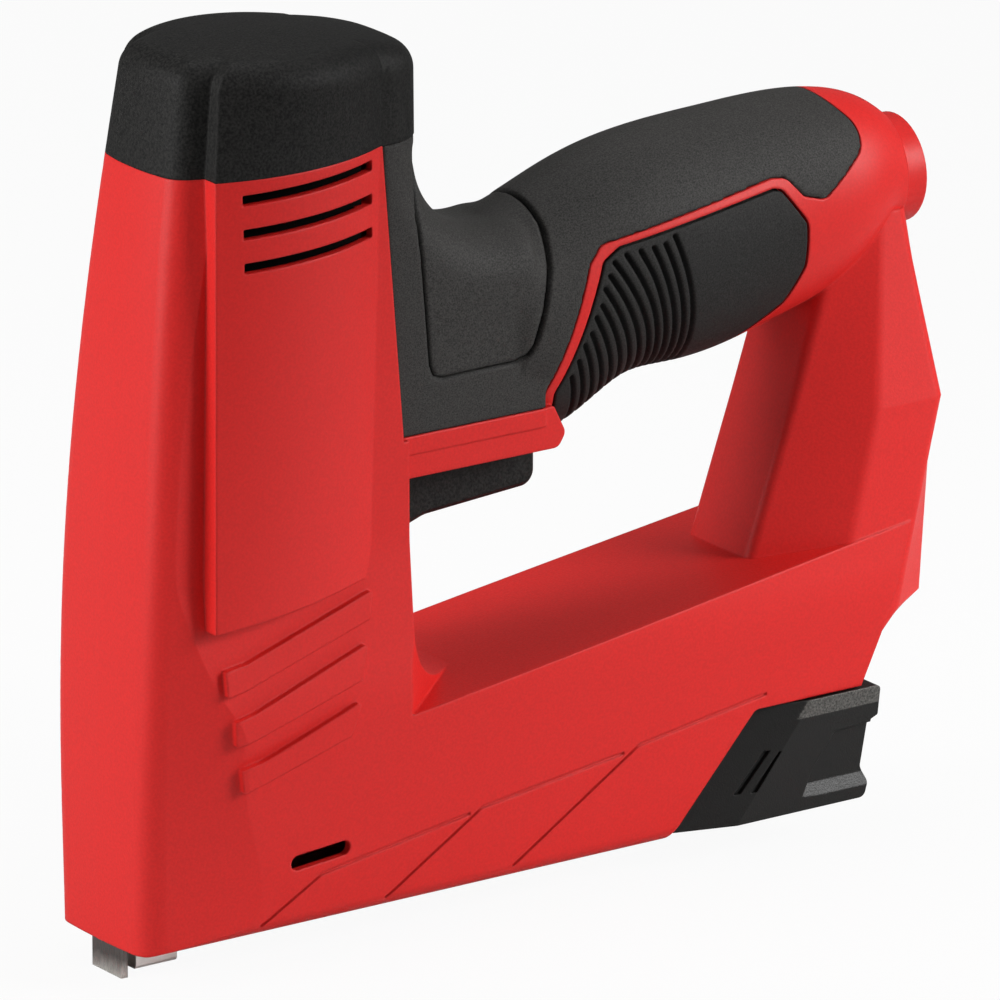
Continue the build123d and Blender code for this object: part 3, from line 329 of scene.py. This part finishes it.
def metal(name, colour, low, high, stretch=(1, 1, 1), edge_round=0.0002):
    """Metal with fine drawn lines."""
    finish = Finish(name)
    lines = finish.noise(1500, 3, stretch)
    finish.tone(finish.noise(300, 3), shade(colour, 0.9), shade(colour, 1.08))
    finish.rough(lines, low, high)
    finish.set(Metallic=1.0)
    return finish.relief(lines, 0.000004, edge_round).material


def dress(material, *names):
    """Gives CAD nodes a finish."""
    for name in names:
        node = NODES[name]
        node.data.materials.clear()
        node.data.materials.append(material)


def piece(name, mesh, body, material, replaced=()):
    """A new piece on a body, standing for CAD nodes."""
    thing = bpy.data.objects.new(name, mesh)
    bpy.context.scene.collection.objects.link(thing)
    mesh.materials.clear()
    mesh.materials.append(material)
    mesh.polygons.foreach_set("material_index", [0] * len(mesh.polygons))
    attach(thing, body)
    if replaced:
        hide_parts(*replaced)
    return thing


def evaluated(thing):
    """Plain mesh of an object with its modifiers."""
    graph = bpy.context.evaluated_depsgraph_get()
    return bpy.data.meshes.new_from_object(thing.evaluated_get(graph), depsgraph=graph)


def through_tree(mesh, tree, **values):
    """Mesh after a node tree whose inputs are set by name."""
    thing = bpy.data.objects.new("in_work", mesh)
    bpy.context.scene.collection.objects.link(thing)
    modifier = thing.modifiers.new("tree", "NODES")
    modifier.node_group = tree
    for socket in tree.interface.items_tree:
        key = socket.name.lower().replace(" ", "_")
        if socket.in_out == "INPUT" and key in values:
            modifier[socket.identifier] = values[key]
    made = evaluated(thing)
    thing.modifiers.clear()
    bpy.data.objects.remove(thing)
    return made


class Tree:
    """A geometry node tree under construction."""

    def __init__(self, name, **inputs):
        self.tree = bpy.data.node_groups.new(name, "GeometryNodeTree")
        sockets = self.tree.interface
        sockets.new_socket("Geometry", in_out="INPUT", socket_type="NodeSocketGeometry")
        for key, kind in inputs.items():
            sockets.new_socket(key.replace("_", " ").capitalize(), in_out="INPUT",
                               socket_type="NodeSocket" + kind)
        sockets.new_socket("Geometry", in_out="OUTPUT", socket_type="NodeSocketGeometry")
        self.given = self.tree.nodes.new("NodeGroupInput").outputs
        self.result = self.tree.nodes.new("NodeGroupOutput").inputs

    def add(self, kind, settings=None, **inputs):
        """Node with its settings, and its inputs given as values or as other nodes' outputs."""
        node = self.tree.nodes.new(kind)
        for key, value in (settings or {}).items():
            setattr(node, key, value)
        for key, value in inputs.items():
            socket = node.inputs[int(key[1:]) if key[1:].isdigit() else key.replace("_", " ")]
            if isinstance(value, bpy.types.NodeSocket):
                self.tree.links.new(value, socket)
            else:
                socket.default_value = value
        return node.outputs

    def end(self, geometry):
        """Closes the tree with plain geometry and its material."""
        plain = self.add("GeometryNodeRealizeInstances", Geometry=geometry)["Geometry"]
        painted = self.add("GeometryNodeSetMaterial", Geometry=plain, Material=self.given["Material"])
        self.tree.links.new(painted["Geometry"], self.result["Geometry"])
        return self.tree


def pressed_lines_tree():
    """Grooves pressed into a surface along lines that lie on it."""
    t = Tree("pressed lines", lines="Object", width="Float", depth="Float", material="Material")
    lines = t.add("GeometryNodeObjectInfo", Object=t.given["Lines"])["Geometry"]
    near = t.add("GeometryNodeProximity", {"target_element": "EDGES"}, Geometry=lines)["Distance"]
    inner = t.add("ShaderNodeMath", {"operation": "MULTIPLY"}, _0=t.given["Width"], _1=0.35)["Value"]
    share = t.add("ShaderNodeMapRange", {"interpolation_type": "SMOOTHSTEP"}, Value=near, From_Min=inner,
                  From_Max=t.given["Width"], To_Min=1.0, To_Max=0.0)["Result"]
    sink = t.add("ShaderNodeMath", {"operation": "MULTIPLY"}, _0=share, _1=t.given["Depth"])["Value"]
    down = t.add("ShaderNodeMath", {"operation": "MULTIPLY"}, _0=sink, _1=-1.0)["Value"]
    normal = t.add("GeometryNodeInputNormal")["Normal"]
    move = t.add("ShaderNodeVectorMath", {"operation": "SCALE"}, _0=normal, Scale=down)["Vector"]
    # The groove's share is stored as sunk, and the rubber finish paints shade into the groove from it.
    marked = t.add("GeometryNodeStoreNamedAttribute", {"data_type": "FLOAT", "domain": "POINT"},
                   Geometry=t.given["Geometry"], Name="sunk", Value=share)["Geometry"]
    return t.end(t.add("GeometryNodeSetPosition", Geometry=marked, Offset=move)["Geometry"])


def wire_coil_tree():
    """Wire wound round an upright axis, then turned and put in its place."""
    t = Tree("wire coil", turns="Float", radius="Float", height="Float", wire="Float", place="Vector",
             turn="Vector", material="Material")
    line = t.add("GeometryNodeCurveSpiral", Resolution=28, Rotations=t.given["Turns"],
                 Start_Radius=t.given["Radius"], End_Radius=t.given["Radius"],
                 Height=t.given["Height"])["Curve"]
    ring = t.add("GeometryNodeCurvePrimitiveCircle", Resolution=10, Radius=t.given["Wire"])["Curve"]
    tube = t.add("GeometryNodeCurveToMesh", Curve=line, Profile_Curve=ring, Fill_Caps=True)["Mesh"]
    smooth = t.add("GeometryNodeSetShadeSmooth", Geometry=tube, Shade_Smooth=True)["Geometry"]
    placed = t.add("GeometryNodeTransform", Geometry=smooth, Translation=t.given["Place"],
                   Rotation=t.given["Turn"])["Geometry"]
    return t.end(placed)


def screws_tree():
    """A screw on every point, each turned by its own angle."""
    t = Tree("housing screws", screw="Object", seed="Int", material="Material")
    one = t.add("GeometryNodeObjectInfo", Object=t.given["Screw"])["Geometry"]
    angle = t.add("FunctionNodeRandomValue", {"data_type": "FLOAT"}, _2=0.0, _3=6.28,
                  Seed=t.given["Seed"])[1]
    turn = t.add("ShaderNodeCombineXYZ", Y=angle)["Vector"]
    many = t.add("GeometryNodeInstanceOnPoints", Points=t.given["Geometry"], Instance=one,
                 Rotation=turn)["Instances"]
    return t.end(many)


def refined(names, parts=4):
    """Points and triangles of CAD nodes, each triangle curved by its corners' normals."""
    points, faces = [], []
    grid = [(i, j, parts - i - j) for i in range(parts + 1) for j in range(parts + 1 - i)]
    index = {key: n for n, key in enumerate(grid)}
    local = []
    for i, j, k in grid:
        if k > 0:
            local.append((index[i, j, k], index[i + 1, j, k - 1], index[i, j + 1, k - 1]))
        if k > 1:
            local.append((index[i + 1, j, k - 1], index[i + 1, j + 1, k - 2], index[i, j + 1, k - 1]))
    weights = np.array(grid, float) / parts
    u, v, w = [weights[:, n][None, :, None] for n in range(3)]
    for name in names:
        mesh = NODES[name].data
        mesh.calc_loop_triangles()
        co = np.array([p.co for p in mesh.vertices])
        normals = np.array([n.vector for n in mesh.corner_normals])
        p = co[np.array([t.vertices for t in mesh.loop_triangles])]
        n = normals[np.array([t.loops for t in mesh.loop_triangles])]

        def pull(a, b):
            lift = ((p[:, b] - p[:, a]) * n[:, a]).sum(1)[:, None]
            return (2 * p[:, a] + p[:, b] - lift * n[:, a]) / 3

        edge = {(a, b): pull(a, b) for a in range(3) for b in range(3) if a != b}
        middle = sum(edge.values()) / 6 * 1.5 - p.sum(1) / 6
        surface = (u ** 3 * p[:, None, 0] + v ** 3 * p[:, None, 1] + w ** 3 * p[:, None, 2]
                   + 6 * u * v * w * middle[:, None])
        for (a, b), control in edge.items():
            x, y = (u, v, w)[a], (u, v, w)[b]
            surface = surface + 3 * x * x * y * control[:, None]
        start = sum(len(block) for block in points)
        points.append(surface.reshape(-1, 3))
        steps = start + np.arange(len(p))[:, None, None] * len(grid)
        faces.append((steps + np.array(local)[None]).reshape(-1, 3))
    return np.concatenate(points), np.concatenate(faces)


def soft_mesh(name, nodes, voxel, rounds):
    """One even, softened mesh from CAD nodes."""
    points, faces = refined(nodes)
    mesh = bpy.data.meshes.new(name)
    mesh.from_pydata(points.tolist(), [], faces.tolist())
    work = bmesh.new()
    work.from_mesh(mesh)
    bmesh.ops.remove_doubles(work, verts=work.verts, dist=0.00001)
    if len(nodes) > 1:
        inner = [f for f in work.faces if all(abs(v.co.y) < 0.00002 for v in f.verts)]
        bmesh.ops.delete(work, geom=inner, context="FACES")
    work.to_mesh(mesh)
    work.free()
    thing = bpy.data.objects.new(name, mesh)
    bpy.context.scene.collection.objects.link(thing)
    remesh = thing.modifiers.new("even", "REMESH")
    remesh.mode = "VOXEL"
    remesh.voxel_size = voxel
    remesh.use_smooth_shade = True
    soften = thing.modifiers.new("soften", "SMOOTH")
    soften.factor = 0.5
    soften.iterations = rounds
    made = evaluated(thing)
    thing.modifiers.clear()
    bpy.data.objects.remove(thing)
    made.shade_smooth()
    return made


def edge_distance(points, outline):
    """Distance of points from a closed outline, in its own units, positive inside."""
    a = np.array(outline, float)
    b = np.roll(a, -1, axis=0)
    run = b - a
    away = points[:, None] - a[None]
    share = np.clip((away * run).sum(2) / (run * run).sum(1), 0, 1)
    gap = np.linalg.norm(away - share[..., None] * run[None], axis=2).min(1)
    crosses = ((a[None, :, 1] > points[:, None, 1]) != (b[None, :, 1] > points[:, None, 1]))
    rise = np.where(run[:, 1] == 0, 1e-9, run[:, 1])
    at = a[None, :, 0] + (points[:, None, 1] - a[None, :, 1]) * run[None, :, 0] / rise[None]
    inside = (crosses & (points[:, None, 0] < at)).sum(1) % 2 == 1
    return np.where(inside, gap, -gap)


def smoothstep(x):
    """Soft step from 0 to 1."""
    x = np.clip(x, 0, 1)
    return x * x * (3 - 2 * x)


def points_of(mesh):
    """Places and normals of a mesh's points."""
    places = np.empty(len(mesh.vertices) * 3)
    mesh.vertices.foreach_get("co", places)
    normals = np.empty(len(mesh.vertices) * 3)
    mesh.vertex_normals.foreach_get("vector", normals)
    return places.reshape(-1, 3), normals.reshape(-1, 3)


def move_points(mesh, places):
    """Puts a mesh's points in new places."""
    mesh.vertices.foreach_set("co", places.ravel())
    mesh.update()


def sink_panel(mesh, depth):
    """Evens the neck's panel out and presses it into the soft grip, with a rolled edge that is marked for
    painted shade.
    """
    places = points_of(mesh)[0]
    gap = edge_distance(places[:, [0, 2]] / MM, PANEL_OUTLINE)
    ends = np.empty(len(mesh.edges) * 2, dtype=int)
    mesh.edges.foreach_get("vertices", ends)
    a, b = ends.reshape(-1, 2).T
    count = np.bincount(ends, minlength=len(places))[:, None]
    share = 0.5 * smoothstep((gap + 1.5) / 2)[:, None]
    for _ in range(PANEL_ROUNDS):
        total = np.stack([np.bincount(a, places[b, k], len(places))
                          + np.bincount(b, places[a, k], len(places)) for k in range(3)], axis=1)
        places = places + share * (total / count - places)
    move_points(mesh, places)
    places, normals = points_of(mesh)
    share = smoothstep((gap + 0.6) / 1.2)
    places -= normals * (share * depth)[:, None]
    move_points(mesh, places)
    # Painted shade along the panel's step: sunk peaks halfway down the slope and darkens the rubber there.
    sunk = mesh.attributes.new("sunk", "FLOAT", "POINT")
    sunk.data.foreach_set("value", share * (1 - share))


def sink_rim(mesh, depth, width):
    """Presses the pad's rim down, so that a gap shows round it."""
    places, normals = points_of(mesh)
    gap = edge_distance(places[:, [0, 2]] / MM, PAD_OUTLINE)
    places -= normals * (smoothstep(1 - gap * MM / width) * depth)[:, None]
    move_points(mesh, places)


def groove_lines(look, surface, side):
    """Lines of the finger grooves on the palm pad of one side."""
    table = np.array(HANDLE_LINE, float)
    points, edges = [], []
    for i in range(look.groove_count):
        middle = GROOVE_FIRST - i * look.groove_pitch / MM
        fan = GROOVE_FAN + GROOVE_FAN_GAIN * min(1.0, i / GROOVE_FAN_STEPS)
        last = None
        for angle in GROOVE_ANGLES:
            x = middle + fan * (-GROOVE_TILT - angle) - GROOVE_BEND * (angle + GROOVE_TILT) ** 2
            low, high = np.interp(x, table[:, 0], table[:, 1]), np.interp(x, table[:, 0], table[:, 2])
            axis = Vector((x * MM, 0, (low + high) / 2 * MM))
            out = Vector((0, side * math.cos(angle), math.sin(angle)))
            hit = surface.ray_cast(axis + out * 0.06, -out, 0.05)[0]
            kept = hit is not None and edge_distance(
                np.array([[hit.x / MM, hit.z / MM]]), PAD_OUTLINE)[0] > GROOVE_MARGIN
            if not kept:
                last = None
                continue
            points.append(tuple(hit))
            if last is not None:
                edges.append((last, len(points) - 1))
            last = len(points) - 1
    return points, edges


def screw_mesh(head, shank, length, height):
    """Pan-head screw along Y with a six-lobed socket, its head's seat at Y = 0."""
    around = 36
    rings = [(0.0, -length - SCREW_TIP, 0), (shank * 0.9, -length, 0), (shank, -length + 0.0004, 0),
             (shank, 0.0, 0), (head, 0.0, 0), (head, height * 0.45, 0), (head * 0.93, height * 0.75, 0),
             (head * 0.74, height * 0.97, 0), (head * 0.6, height, 0), (head * 0.52, height, 1),
             (head * 0.49, height * 0.4, 1), (0.0, height * 0.36, 1)]
    mesh = bpy.data.meshes.new("screw")
    work = bmesh.new()
    rows = []
    for radius, y, lobed in rings:
        row = []
        for k in range(around):
            angle = math.tau * k / around
            r = radius * (1 + 0.17 * math.cos(6 * angle)) if lobed else radius
            row.append(work.verts.new((r * math.cos(angle), y, r * math.sin(angle))))
        rows.append(row)
    for a, b in zip(rows, rows[1:]):
        for k in range(around):
            work.faces.new((a[k], a[(k + 1) % around], b[(k + 1) % around], b[k]))
    bmesh.ops.remove_doubles(work, verts=work.verts, dist=1e-6)
    bmesh.ops.recalc_face_normals(work, faces=work.faces)
    work.to_mesh(mesh)
    work.free()
    mesh.shade_smooth()
    mesh.set_sharp_from_angle(angle=math.radians(40))
    return mesh


class STAPLEGUN_OT_stage(bpy.types.Operator):
    """Builds floor, studio light and camera"""
    bl_idname = "staplegun.stage"
    bl_label = "Stage"

    def execute(self, context):
        look = context.scene.stage_look
        mesh = bpy.data.meshes.new("floor")
        r = FLOOR_REACH
        mesh.from_pydata([(-r, -r, 0), (r, -r, 0), (r, r, 0), (-r, r, 0)], [], [(0, 1, 2, 3)])
        floor = bpy.data.objects.new("floor", mesh)
        context.scene.collection.objects.link(floor)
        floor.data.materials.append(self.floor_finish(look))
        self.world(context, look)
        for name, place, size, power, spread, aim in SOFTBOXES:
            self.softbox(context, name, Vector(place), size, power, spread, Vector(aim))
        self.camera(context, look)
        context.scene.view_settings.view_transform = "Standard"
        return {"FINISHED"}

    def floor_finish(self, look):
        """Pale floor that shows white to the camera and keeps the shadow."""
        finish = Finish("pale_floor")
        finish.tone(finish.noise(3, 2), shade(look.floor, 0.99), shade(look.floor, 1.01))
        finish.set(Roughness=0.9)
        path = finish.nodes.new("ShaderNodeLightPath")
        glow = finish.nodes.new("ShaderNodeEmission")
        glow.inputs["Strength"].default_value = 1.0
        mix = finish.nodes.new("ShaderNodeMixShader")
        seen = finish.join("MULTIPLY", path.outputs["Is Camera Ray"], FLOOR_GLOW)
        finish.links.new(seen, mix.inputs["Fac"])
        finish.links.new(finish.shader.outputs["BSDF"], mix.inputs[1])
        finish.links.new(glow.outputs["Emission"], mix.inputs[2])
        finish.links.new(mix.outputs["Shader"], finish.nodes["Material Output"].inputs["Surface"])
        return finish.material

    def world(self, context, look):
        """Even light, and a white background where it is seen."""
        world = bpy.data.worlds.new("studio")
        context.scene.world = world
        world.use_nodes = True
        nodes, links = world.node_tree.nodes, world.node_tree.links
        even = nodes["Background"]
        even.inputs["Color"].default_value = (1, 1, 1, 1)
        even.inputs["Strength"].default_value = look.ambient
        white = nodes.new("ShaderNodeBackground")
        white.inputs["Color"].default_value = (1, 1, 1, 1)
        path = nodes.new("ShaderNodeLightPath")
        mix = nodes.new("ShaderNodeMixShader")
        links.new(path.outputs["Is Camera Ray"], mix.inputs["Fac"])
        links.new(even.outputs["Background"], mix.inputs[1])
        links.new(white.outputs["Background"], mix.inputs[2])
        links.new(mix.outputs["Shader"], nodes["World Output"].inputs["Surface"])

    def softbox(self, context, name, place, size, power, spread, aim):
        light = bpy.data.lights.new(name, "AREA")
        light.shape = "SQUARE"
        light.size = size
        light.energy = power
        light.spread = math.radians(spread)
        lamp = bpy.data.objects.new(name, light)
        context.scene.collection.objects.link(lamp)
        lamp.location = place
        lamp.rotation_euler = (aim - place).to_track_quat("-Z", "Y").to_euler()

    def camera(self, context, look):
        """Camera at the photograph's angle; its aim centres the picture."""
        a, e = look.azimuth, look.elevation
        back = Vector((math.sin(a) * math.cos(e), -math.cos(a) * math.cos(e), math.sin(e)))
        right = Vector((math.cos(a), math.sin(a), 0))
        up = back.cross(right)
        scale = look.distance * SENSOR / look.lens
        aim = TARGET + right * (AIM_SHIFT[0] * scale) + up * (AIM_SHIFT[1] * scale)
        data = bpy.data.cameras.new("camera")
        data.sensor_width = SENSOR
        data.lens = look.lens
        data.clip_end = 30.0
        camera = bpy.data.objects.new("camera", data)
        context.scene.collection.objects.link(camera)
        camera.location = TARGET + back * look.distance
        camera.rotation_euler = (aim - camera.location).to_track_quat("-Z", "Y").to_euler()
        context.scene.camera = camera


class STAPLEGUN_OT_housing(bpy.types.Operator):
    """Finishes the housing halves, the cap and the power switch"""
    bl_idname = "staplegun.housing"
    bl_label = "Housing"

    def execute(self, context):
        look = context.scene.housing_look
        red = moulded("grained_red", look.red, look.grain, 0.45, look.edge_round, 0.06, 0.28)
        black = moulded("satin_black", look.black, look.grain * 2.5, 0.6, look.edge_round, 0.85, 0.2)
        dress(red, "left_shell", "right_shell")
        self.vent_screens(look)
        dress(black, "top_cap", "trigger", "rocker_frame", "power_rocker")
        return {"FINISHED"}

    def vent_screens(self, look):
        """Near-black sheets behind the vent slots: painted shade standing for the housing's dark inside."""
        span = VENT_HIGH - VENT_LOW
        work = bmesh.new()
        for y in (-VENT_SIDE, VENT_SIDE):
            plate = bmesh.ops.create_grid(work, x_segments=36, y_segments=22, size=0.5)["verts"]
            for v in plate:
                x, z = v.co.x + 0.5, v.co.y + 0.5
                v.co = (VENT_LOW.x + span.x * x, y, VENT_LOW.z + span.z * z)
        bmesh.ops.solidify(work, geom=work.faces[:], thickness=VENT_THICK)
        bmesh.ops.recalc_face_normals(work, faces=work.faces)
        mesh = bpy.data.meshes.new("vent_screens")
        work.to_mesh(mesh)
        work.free()
        # Near-black and matte: painted shade inside the vents.
        sheet_finish = moulded("dark_screen", shade(look.black, 0.4), 0.0002, 0.9, 0.0, 0.3, 0.05)
        piece("vent_screens", mesh, "housing", sheet_finish, ())


class STAPLEGUN_OT_soft_grips(bpy.types.Operator):
    """Builds the neck grip and the palm pads"""
    bl_idname = "staplegun.soft_grips"
    bl_label = "Soft grips"

    def execute(self, context):
        look = context.scene.grip_look
        matte = rubber("soft_rubber", look.rubber)
        darker = rubber("pad_rubber", shade(look.rubber, 0.45))
        grip = soft_mesh("neck_grip", ("left_grip", "right_grip"), look.fineness, 4)
        sink_panel(grip, look.panel_depth)
        grip.shade_smooth()
        piece("neck_grip", grip, "housing", matte, ("left_grip", "right_grip"))
        tree = pressed_lines_tree()
        for side in ("left", "right"):
            pad = soft_mesh(side + "_palm_pad", (side + "_pad",), look.fineness * 0.6, 3)
            surface = BVHTree.FromPolygons([v.co.copy() for v in pad.vertices],
                                           [tuple(p.vertices) for p in pad.polygons])
            points, edges = groove_lines(look, surface, -1 if side == "left" else 1)
            lines = bpy.data.meshes.new("groove_lines")
            lines.from_pydata(points, edges, [])
            guide = bpy.data.objects.new("groove_lines", lines)
            context.scene.collection.objects.link(guide)
            made = through_tree(pad, tree, lines=guide, width=look.groove_width,
                                depth=look.groove_depth, material=darker)
            bpy.data.objects.remove(guide)
            sink_rim(made, RIM_DEPTH, RIM_WIDTH)
            made.shade_smooth()
            piece(side + "_palm_pad", made, "housing", darker, (side + "_pad",))
        dress(matte, "top_buffer", "lower_bumper")
        return {"FINISHED"}


class STAPLEGUN_OT_magazine(bpy.types.Operator):
    """Finishes the magazine's end, its rail, tray, channel and pusher"""
    bl_idname = "staplegun.magazine"
    bl_label = "Magazine"

    def execute(self, context):
        housing, look = context.scene.housing_look, context.scene.metal_look
        dress(self.end_finish(housing), "magazine_grip", "magazine_release")
        sheet = metal("rolled_sheet", shade(look.steel, 1.4), 0.25, 0.4, (0.05, 1, 1))
        dress(sheet, "magazine_channel", "staple_rail", "magazine_tray", "spring_rod", "staple_pusher")
        return {"FINISHED"}

    def end_finish(self, housing):
        """Black moulding with a lighter, grainy strip along its top, a painted highlight standing for the
        light on its bevel.
        """
        finish = Finish("magazine_black")
        fine = finish.noise(2600, 3)
        highlight_band = finish.join("MULTIPLY", finish.along("Z", HIGHLIGHT_BAND_Z, HIGHLIGHT_BAND_Z + 0.0003),
                           finish.along("X", HIGHLIGHT_BAND_X, HIGHLIGHT_BAND_X + 0.0003))
        sides = finish.join("ADD", finish.along("Y", -HIGHLIGHT_BAND_Y, -HIGHLIGHT_BAND_Y - 0.0002),
                            finish.along("Y", HIGHLIGHT_BAND_Y, HIGHLIGHT_BAND_Y + 0.0002))
        highlight_band = finish.join("MULTIPLY", highlight_band, sides)
        grain = finish.join("MULTIPLY", finish.noise(2200, 4), 0.6)
        finish.tone(finish.join("MULTIPLY_ADD", highlight_band, 0.4, grain), shade(housing.black, 0.6),
                    shade(housing.black, 0.9), 0.2, 0.4)
        # The two light stops are reached only inside the strip: painted highlight.
        for place, factor in ((0.58, 2.2), (0.8, 14.0)):
            finish.ramp.elements.new(place).color = shade(housing.black, factor)
        finish.rough(fine, 0.34, 0.46)
        finish.set(Specular_IOR_Level=0.3)
        return finish.relief(fine, housing.grain * 1.5, housing.edge_round * 0.6).material


class STAPLEGUN_OT_nose(bpy.types.Operator):
    """Finishes the bright nose plates and the driver"""
    bl_idname = "staplegun.nose"
    bl_label = "Nose"

    def execute(self, context):
        look = context.scene.metal_look
        dress(self.worn_plate(look), "nose_contact")
        # The guide's nickel is a quarter lighter than the plate's: a painted highlight for the light its
        # rounded corners would catch.
        dress(metal("bright_nickel", shade(look.nickel, 1.25), 0.3, 0.42, (1, 1, 0.08), 0.0004), "nose_guide")
        dark = metal("ground_steel", look.steel, 0.28, 0.42, (1, 1, 0.06))
        dress(dark, "driver_blade", "driver_carrier", "carrier_screw", "armature", "armature_head",
              "solenoid_yoke")
        return {"FINISHED"}

    def worn_plate(self, look):
        """Nickel plate with random stains, darker towards the housing and lighter at its foot."""
        finish = Finish("worn_nickel")
        lines = finish.noise(1500, 3, (1, 1, 0.08))
        stain = finish.join("MULTIPLY", finish.noise(260, 3), 0.45)
        finish.tone(finish.join("MULTIPLY_ADD", finish.along("Z", 0.0005, 0.006), 0.75, stain), look.nickel,
                    shade(look.nickel, 0.22), 0.2, 0.72)
        finish.rough(lines, 0.2, 0.34)
        finish.set(Metallic=1.0)
        return finish.relief(lines, 0.000004, 0.0005).material


class STAPLEGUN_OT_screws(bpy.types.Operator):
    """Sets the housing screws in their holes"""
    bl_idname = "staplegun.screws"
    bl_label = "Screws"

    def execute(self, context):
        look = context.scene.metal_look
        zinc = metal("zinc_screw", shade(look.steel, 1.2), 0.25, 0.4)
        length = SCREW_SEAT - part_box("housing_screws")[0].y - SCREW_TIP
        points = bpy.data.meshes.new("screw_places")
        points.from_pydata([(x * MM, SCREW_SEAT, z * MM) for x, z in SCREW_PLACES], [], [])
        screw = bpy.data.objects.new("screw", screw_mesh(look.screw_head, SCREW_SHANK, length, SCREW_HEIGHT))
        context.scene.collection.objects.link(screw)
        made = through_tree(points, screws_tree(), screw=screw, seed=look.seed, material=zinc)
        bpy.data.objects.remove(screw)
        piece("housing_screws_set", made, "housing", zinc, ("housing_screws",))
        return {"FINISHED"}


class STAPLEGUN_OT_springs(bpy.types.Operator):
    """Winds the springs and the coil"""
    bl_idname = "staplegun.springs"
    bl_label = "Springs and coil"

    def execute(self, context):
        look = context.scene.metal_look
        wire = metal("spring_wire", shade(look.steel, 1.25), 0.22, 0.34)
        tree = wire_coil_tree()
        for spring in SPRINGS:
            self.coil(tree, wire, *spring)
        enamel = metal("enamelled_copper", (0.42, 0.14, 0.05, 1), 0.3, 0.42)
        low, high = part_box("coil_winding")
        thick = (high.z - low.z) / look.wire_turns / 2
        made = through_tree(bpy.data.meshes.new("coil_wire"), tree, turns=float(look.wire_turns - 1),
                            radius=(high.y - low.y) / 2 - thick, height=high.z - low.z - 2 * thick,
                            wire=thick, place=[(low.x + high.x) / 2, 0, low.z + thick], turn=(0, 0, 0),
                            material=enamel)
        piece("coil_wire", made, "housing", enamel, ("coil_winding",))
        return {"FINISHED"}

    def coil(self, tree, wire, node, body, turns, radius, axis, joint, travel, top):
        """Spring, or a pair of them, in its CAD node's place."""
        low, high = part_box(node)
        size, middle = high - low, (low + high) / 2
        thick = radius * MM
        across = min(size[k] for k in range(3) if k != axis) / 2 - thick
        apart = size.y / 2 - across - thick
        work = bmesh.new()
        for y in (-apart, apart) if axis == 2 and apart > across else (0,):
            place = Vector((middle.x, middle.y + y, middle.z))
            place[axis] = low[axis] + thick
            turn = (0, 0, 0) if axis == 2 else (0, math.pi / 2, 0)
            work.from_mesh(through_tree(bpy.data.meshes.new(node), tree, turns=float(turns), radius=across,
                                        height=size[axis] - 2 * thick, wire=thick, place=place, turn=turn,
                                        material=wire))
        made = bpy.data.meshes.new(node + "_wire")
        work.to_mesh(made)
        work.free()
        made.shade_smooth()
        thing = piece(node + "_wire", made, body, wire, (node,))
        anchor = list(middle)
        anchor[axis] = high[axis] if top else low[axis]
        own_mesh(thing)


class STAPLEGUN_OT_electronics(bpy.types.Operator):
    """Finishes the board, its parts and the switches"""
    bl_idname = "staplegun.electronics"
    bl_label = "Electronics"

    def execute(self, context):
        dark = moulded("dark_insulator", (0.05, 0.05, 0.055, 1), 0.00001, 0.4, 0.0003, 0.15)
        dress(dark, "coil_bobbin", "contact_switch", "trigger_switch", "switch_plunger", "capacitors",
              "power_thyristor", "terminal_block")
        board = moulded("board_lacquer", (0.03, 0.22, 0.09, 1), 0.000005, 0.25, 0.0002, 0.12)
        dress(board, "circuit_board")
        dress(metal("extruded_alloy", (0.7, 0.7, 0.71, 1), 0.3, 0.45, (1, 1, 0.06)), "heat_sink")
        return {"FINISHED"}


class STAPLEGUN_PT_looks(bpy.types.Panel):
    """Sidebar panel with the looks and the steps that build them"""
    bl_label = "Staple gun"
    bl_idname = "STAPLEGUN_PT_looks"
    bl_space_type = "VIEW_3D"
    bl_region_type = "UI"
    bl_category = "Staple gun"

    def draw(self, context):
        for step in STEPS:
            self.layout.operator(step.bl_idname)
        for look in LOOKS:
            box = self.layout.box()
            for key in LOOKS[look].__annotations__:
                box.prop(getattr(context.scene, look), key)


LOOKS = {"housing_look": HousingLook, "grip_look": GripLook, "metal_look": MetalLook,
         "stage_look": StageLook}
STEPS = (STAPLEGUN_OT_stage, STAPLEGUN_OT_housing, STAPLEGUN_OT_soft_grips, STAPLEGUN_OT_magazine,
         STAPLEGUN_OT_nose, STAPLEGUN_OT_screws, STAPLEGUN_OT_springs, STAPLEGUN_OT_electronics)


def register():
    for look, group in LOOKS.items():
        bpy.utils.register_class(group)
        setattr(bpy.types.Scene, look, PointerProperty(type=group))
    for step in STEPS:
        bpy.utils.register_class(step)
    bpy.utils.register_class(STAPLEGUN_PT_looks)


def unregister():
    bpy.utils.unregister_class(STAPLEGUN_PT_looks)
    for step in reversed(STEPS):
        bpy.utils.unregister_class(step)
    for look, group in reversed(LOOKS.items()):
        delattr(bpy.types.Scene, look)
        bpy.utils.unregister_class(group)


def main():
    register()
    bpy.ops.staplegun.stage()
    bpy.ops.staplegun.housing()
    bpy.ops.staplegun.soft_grips()
    bpy.ops.staplegun.magazine()
    bpy.ops.staplegun.nose()
    bpy.ops.staplegun.screws()
    bpy.ops.staplegun.springs()
    bpy.ops.staplegun.electronics()


if __name__ == "__main__":
    main()
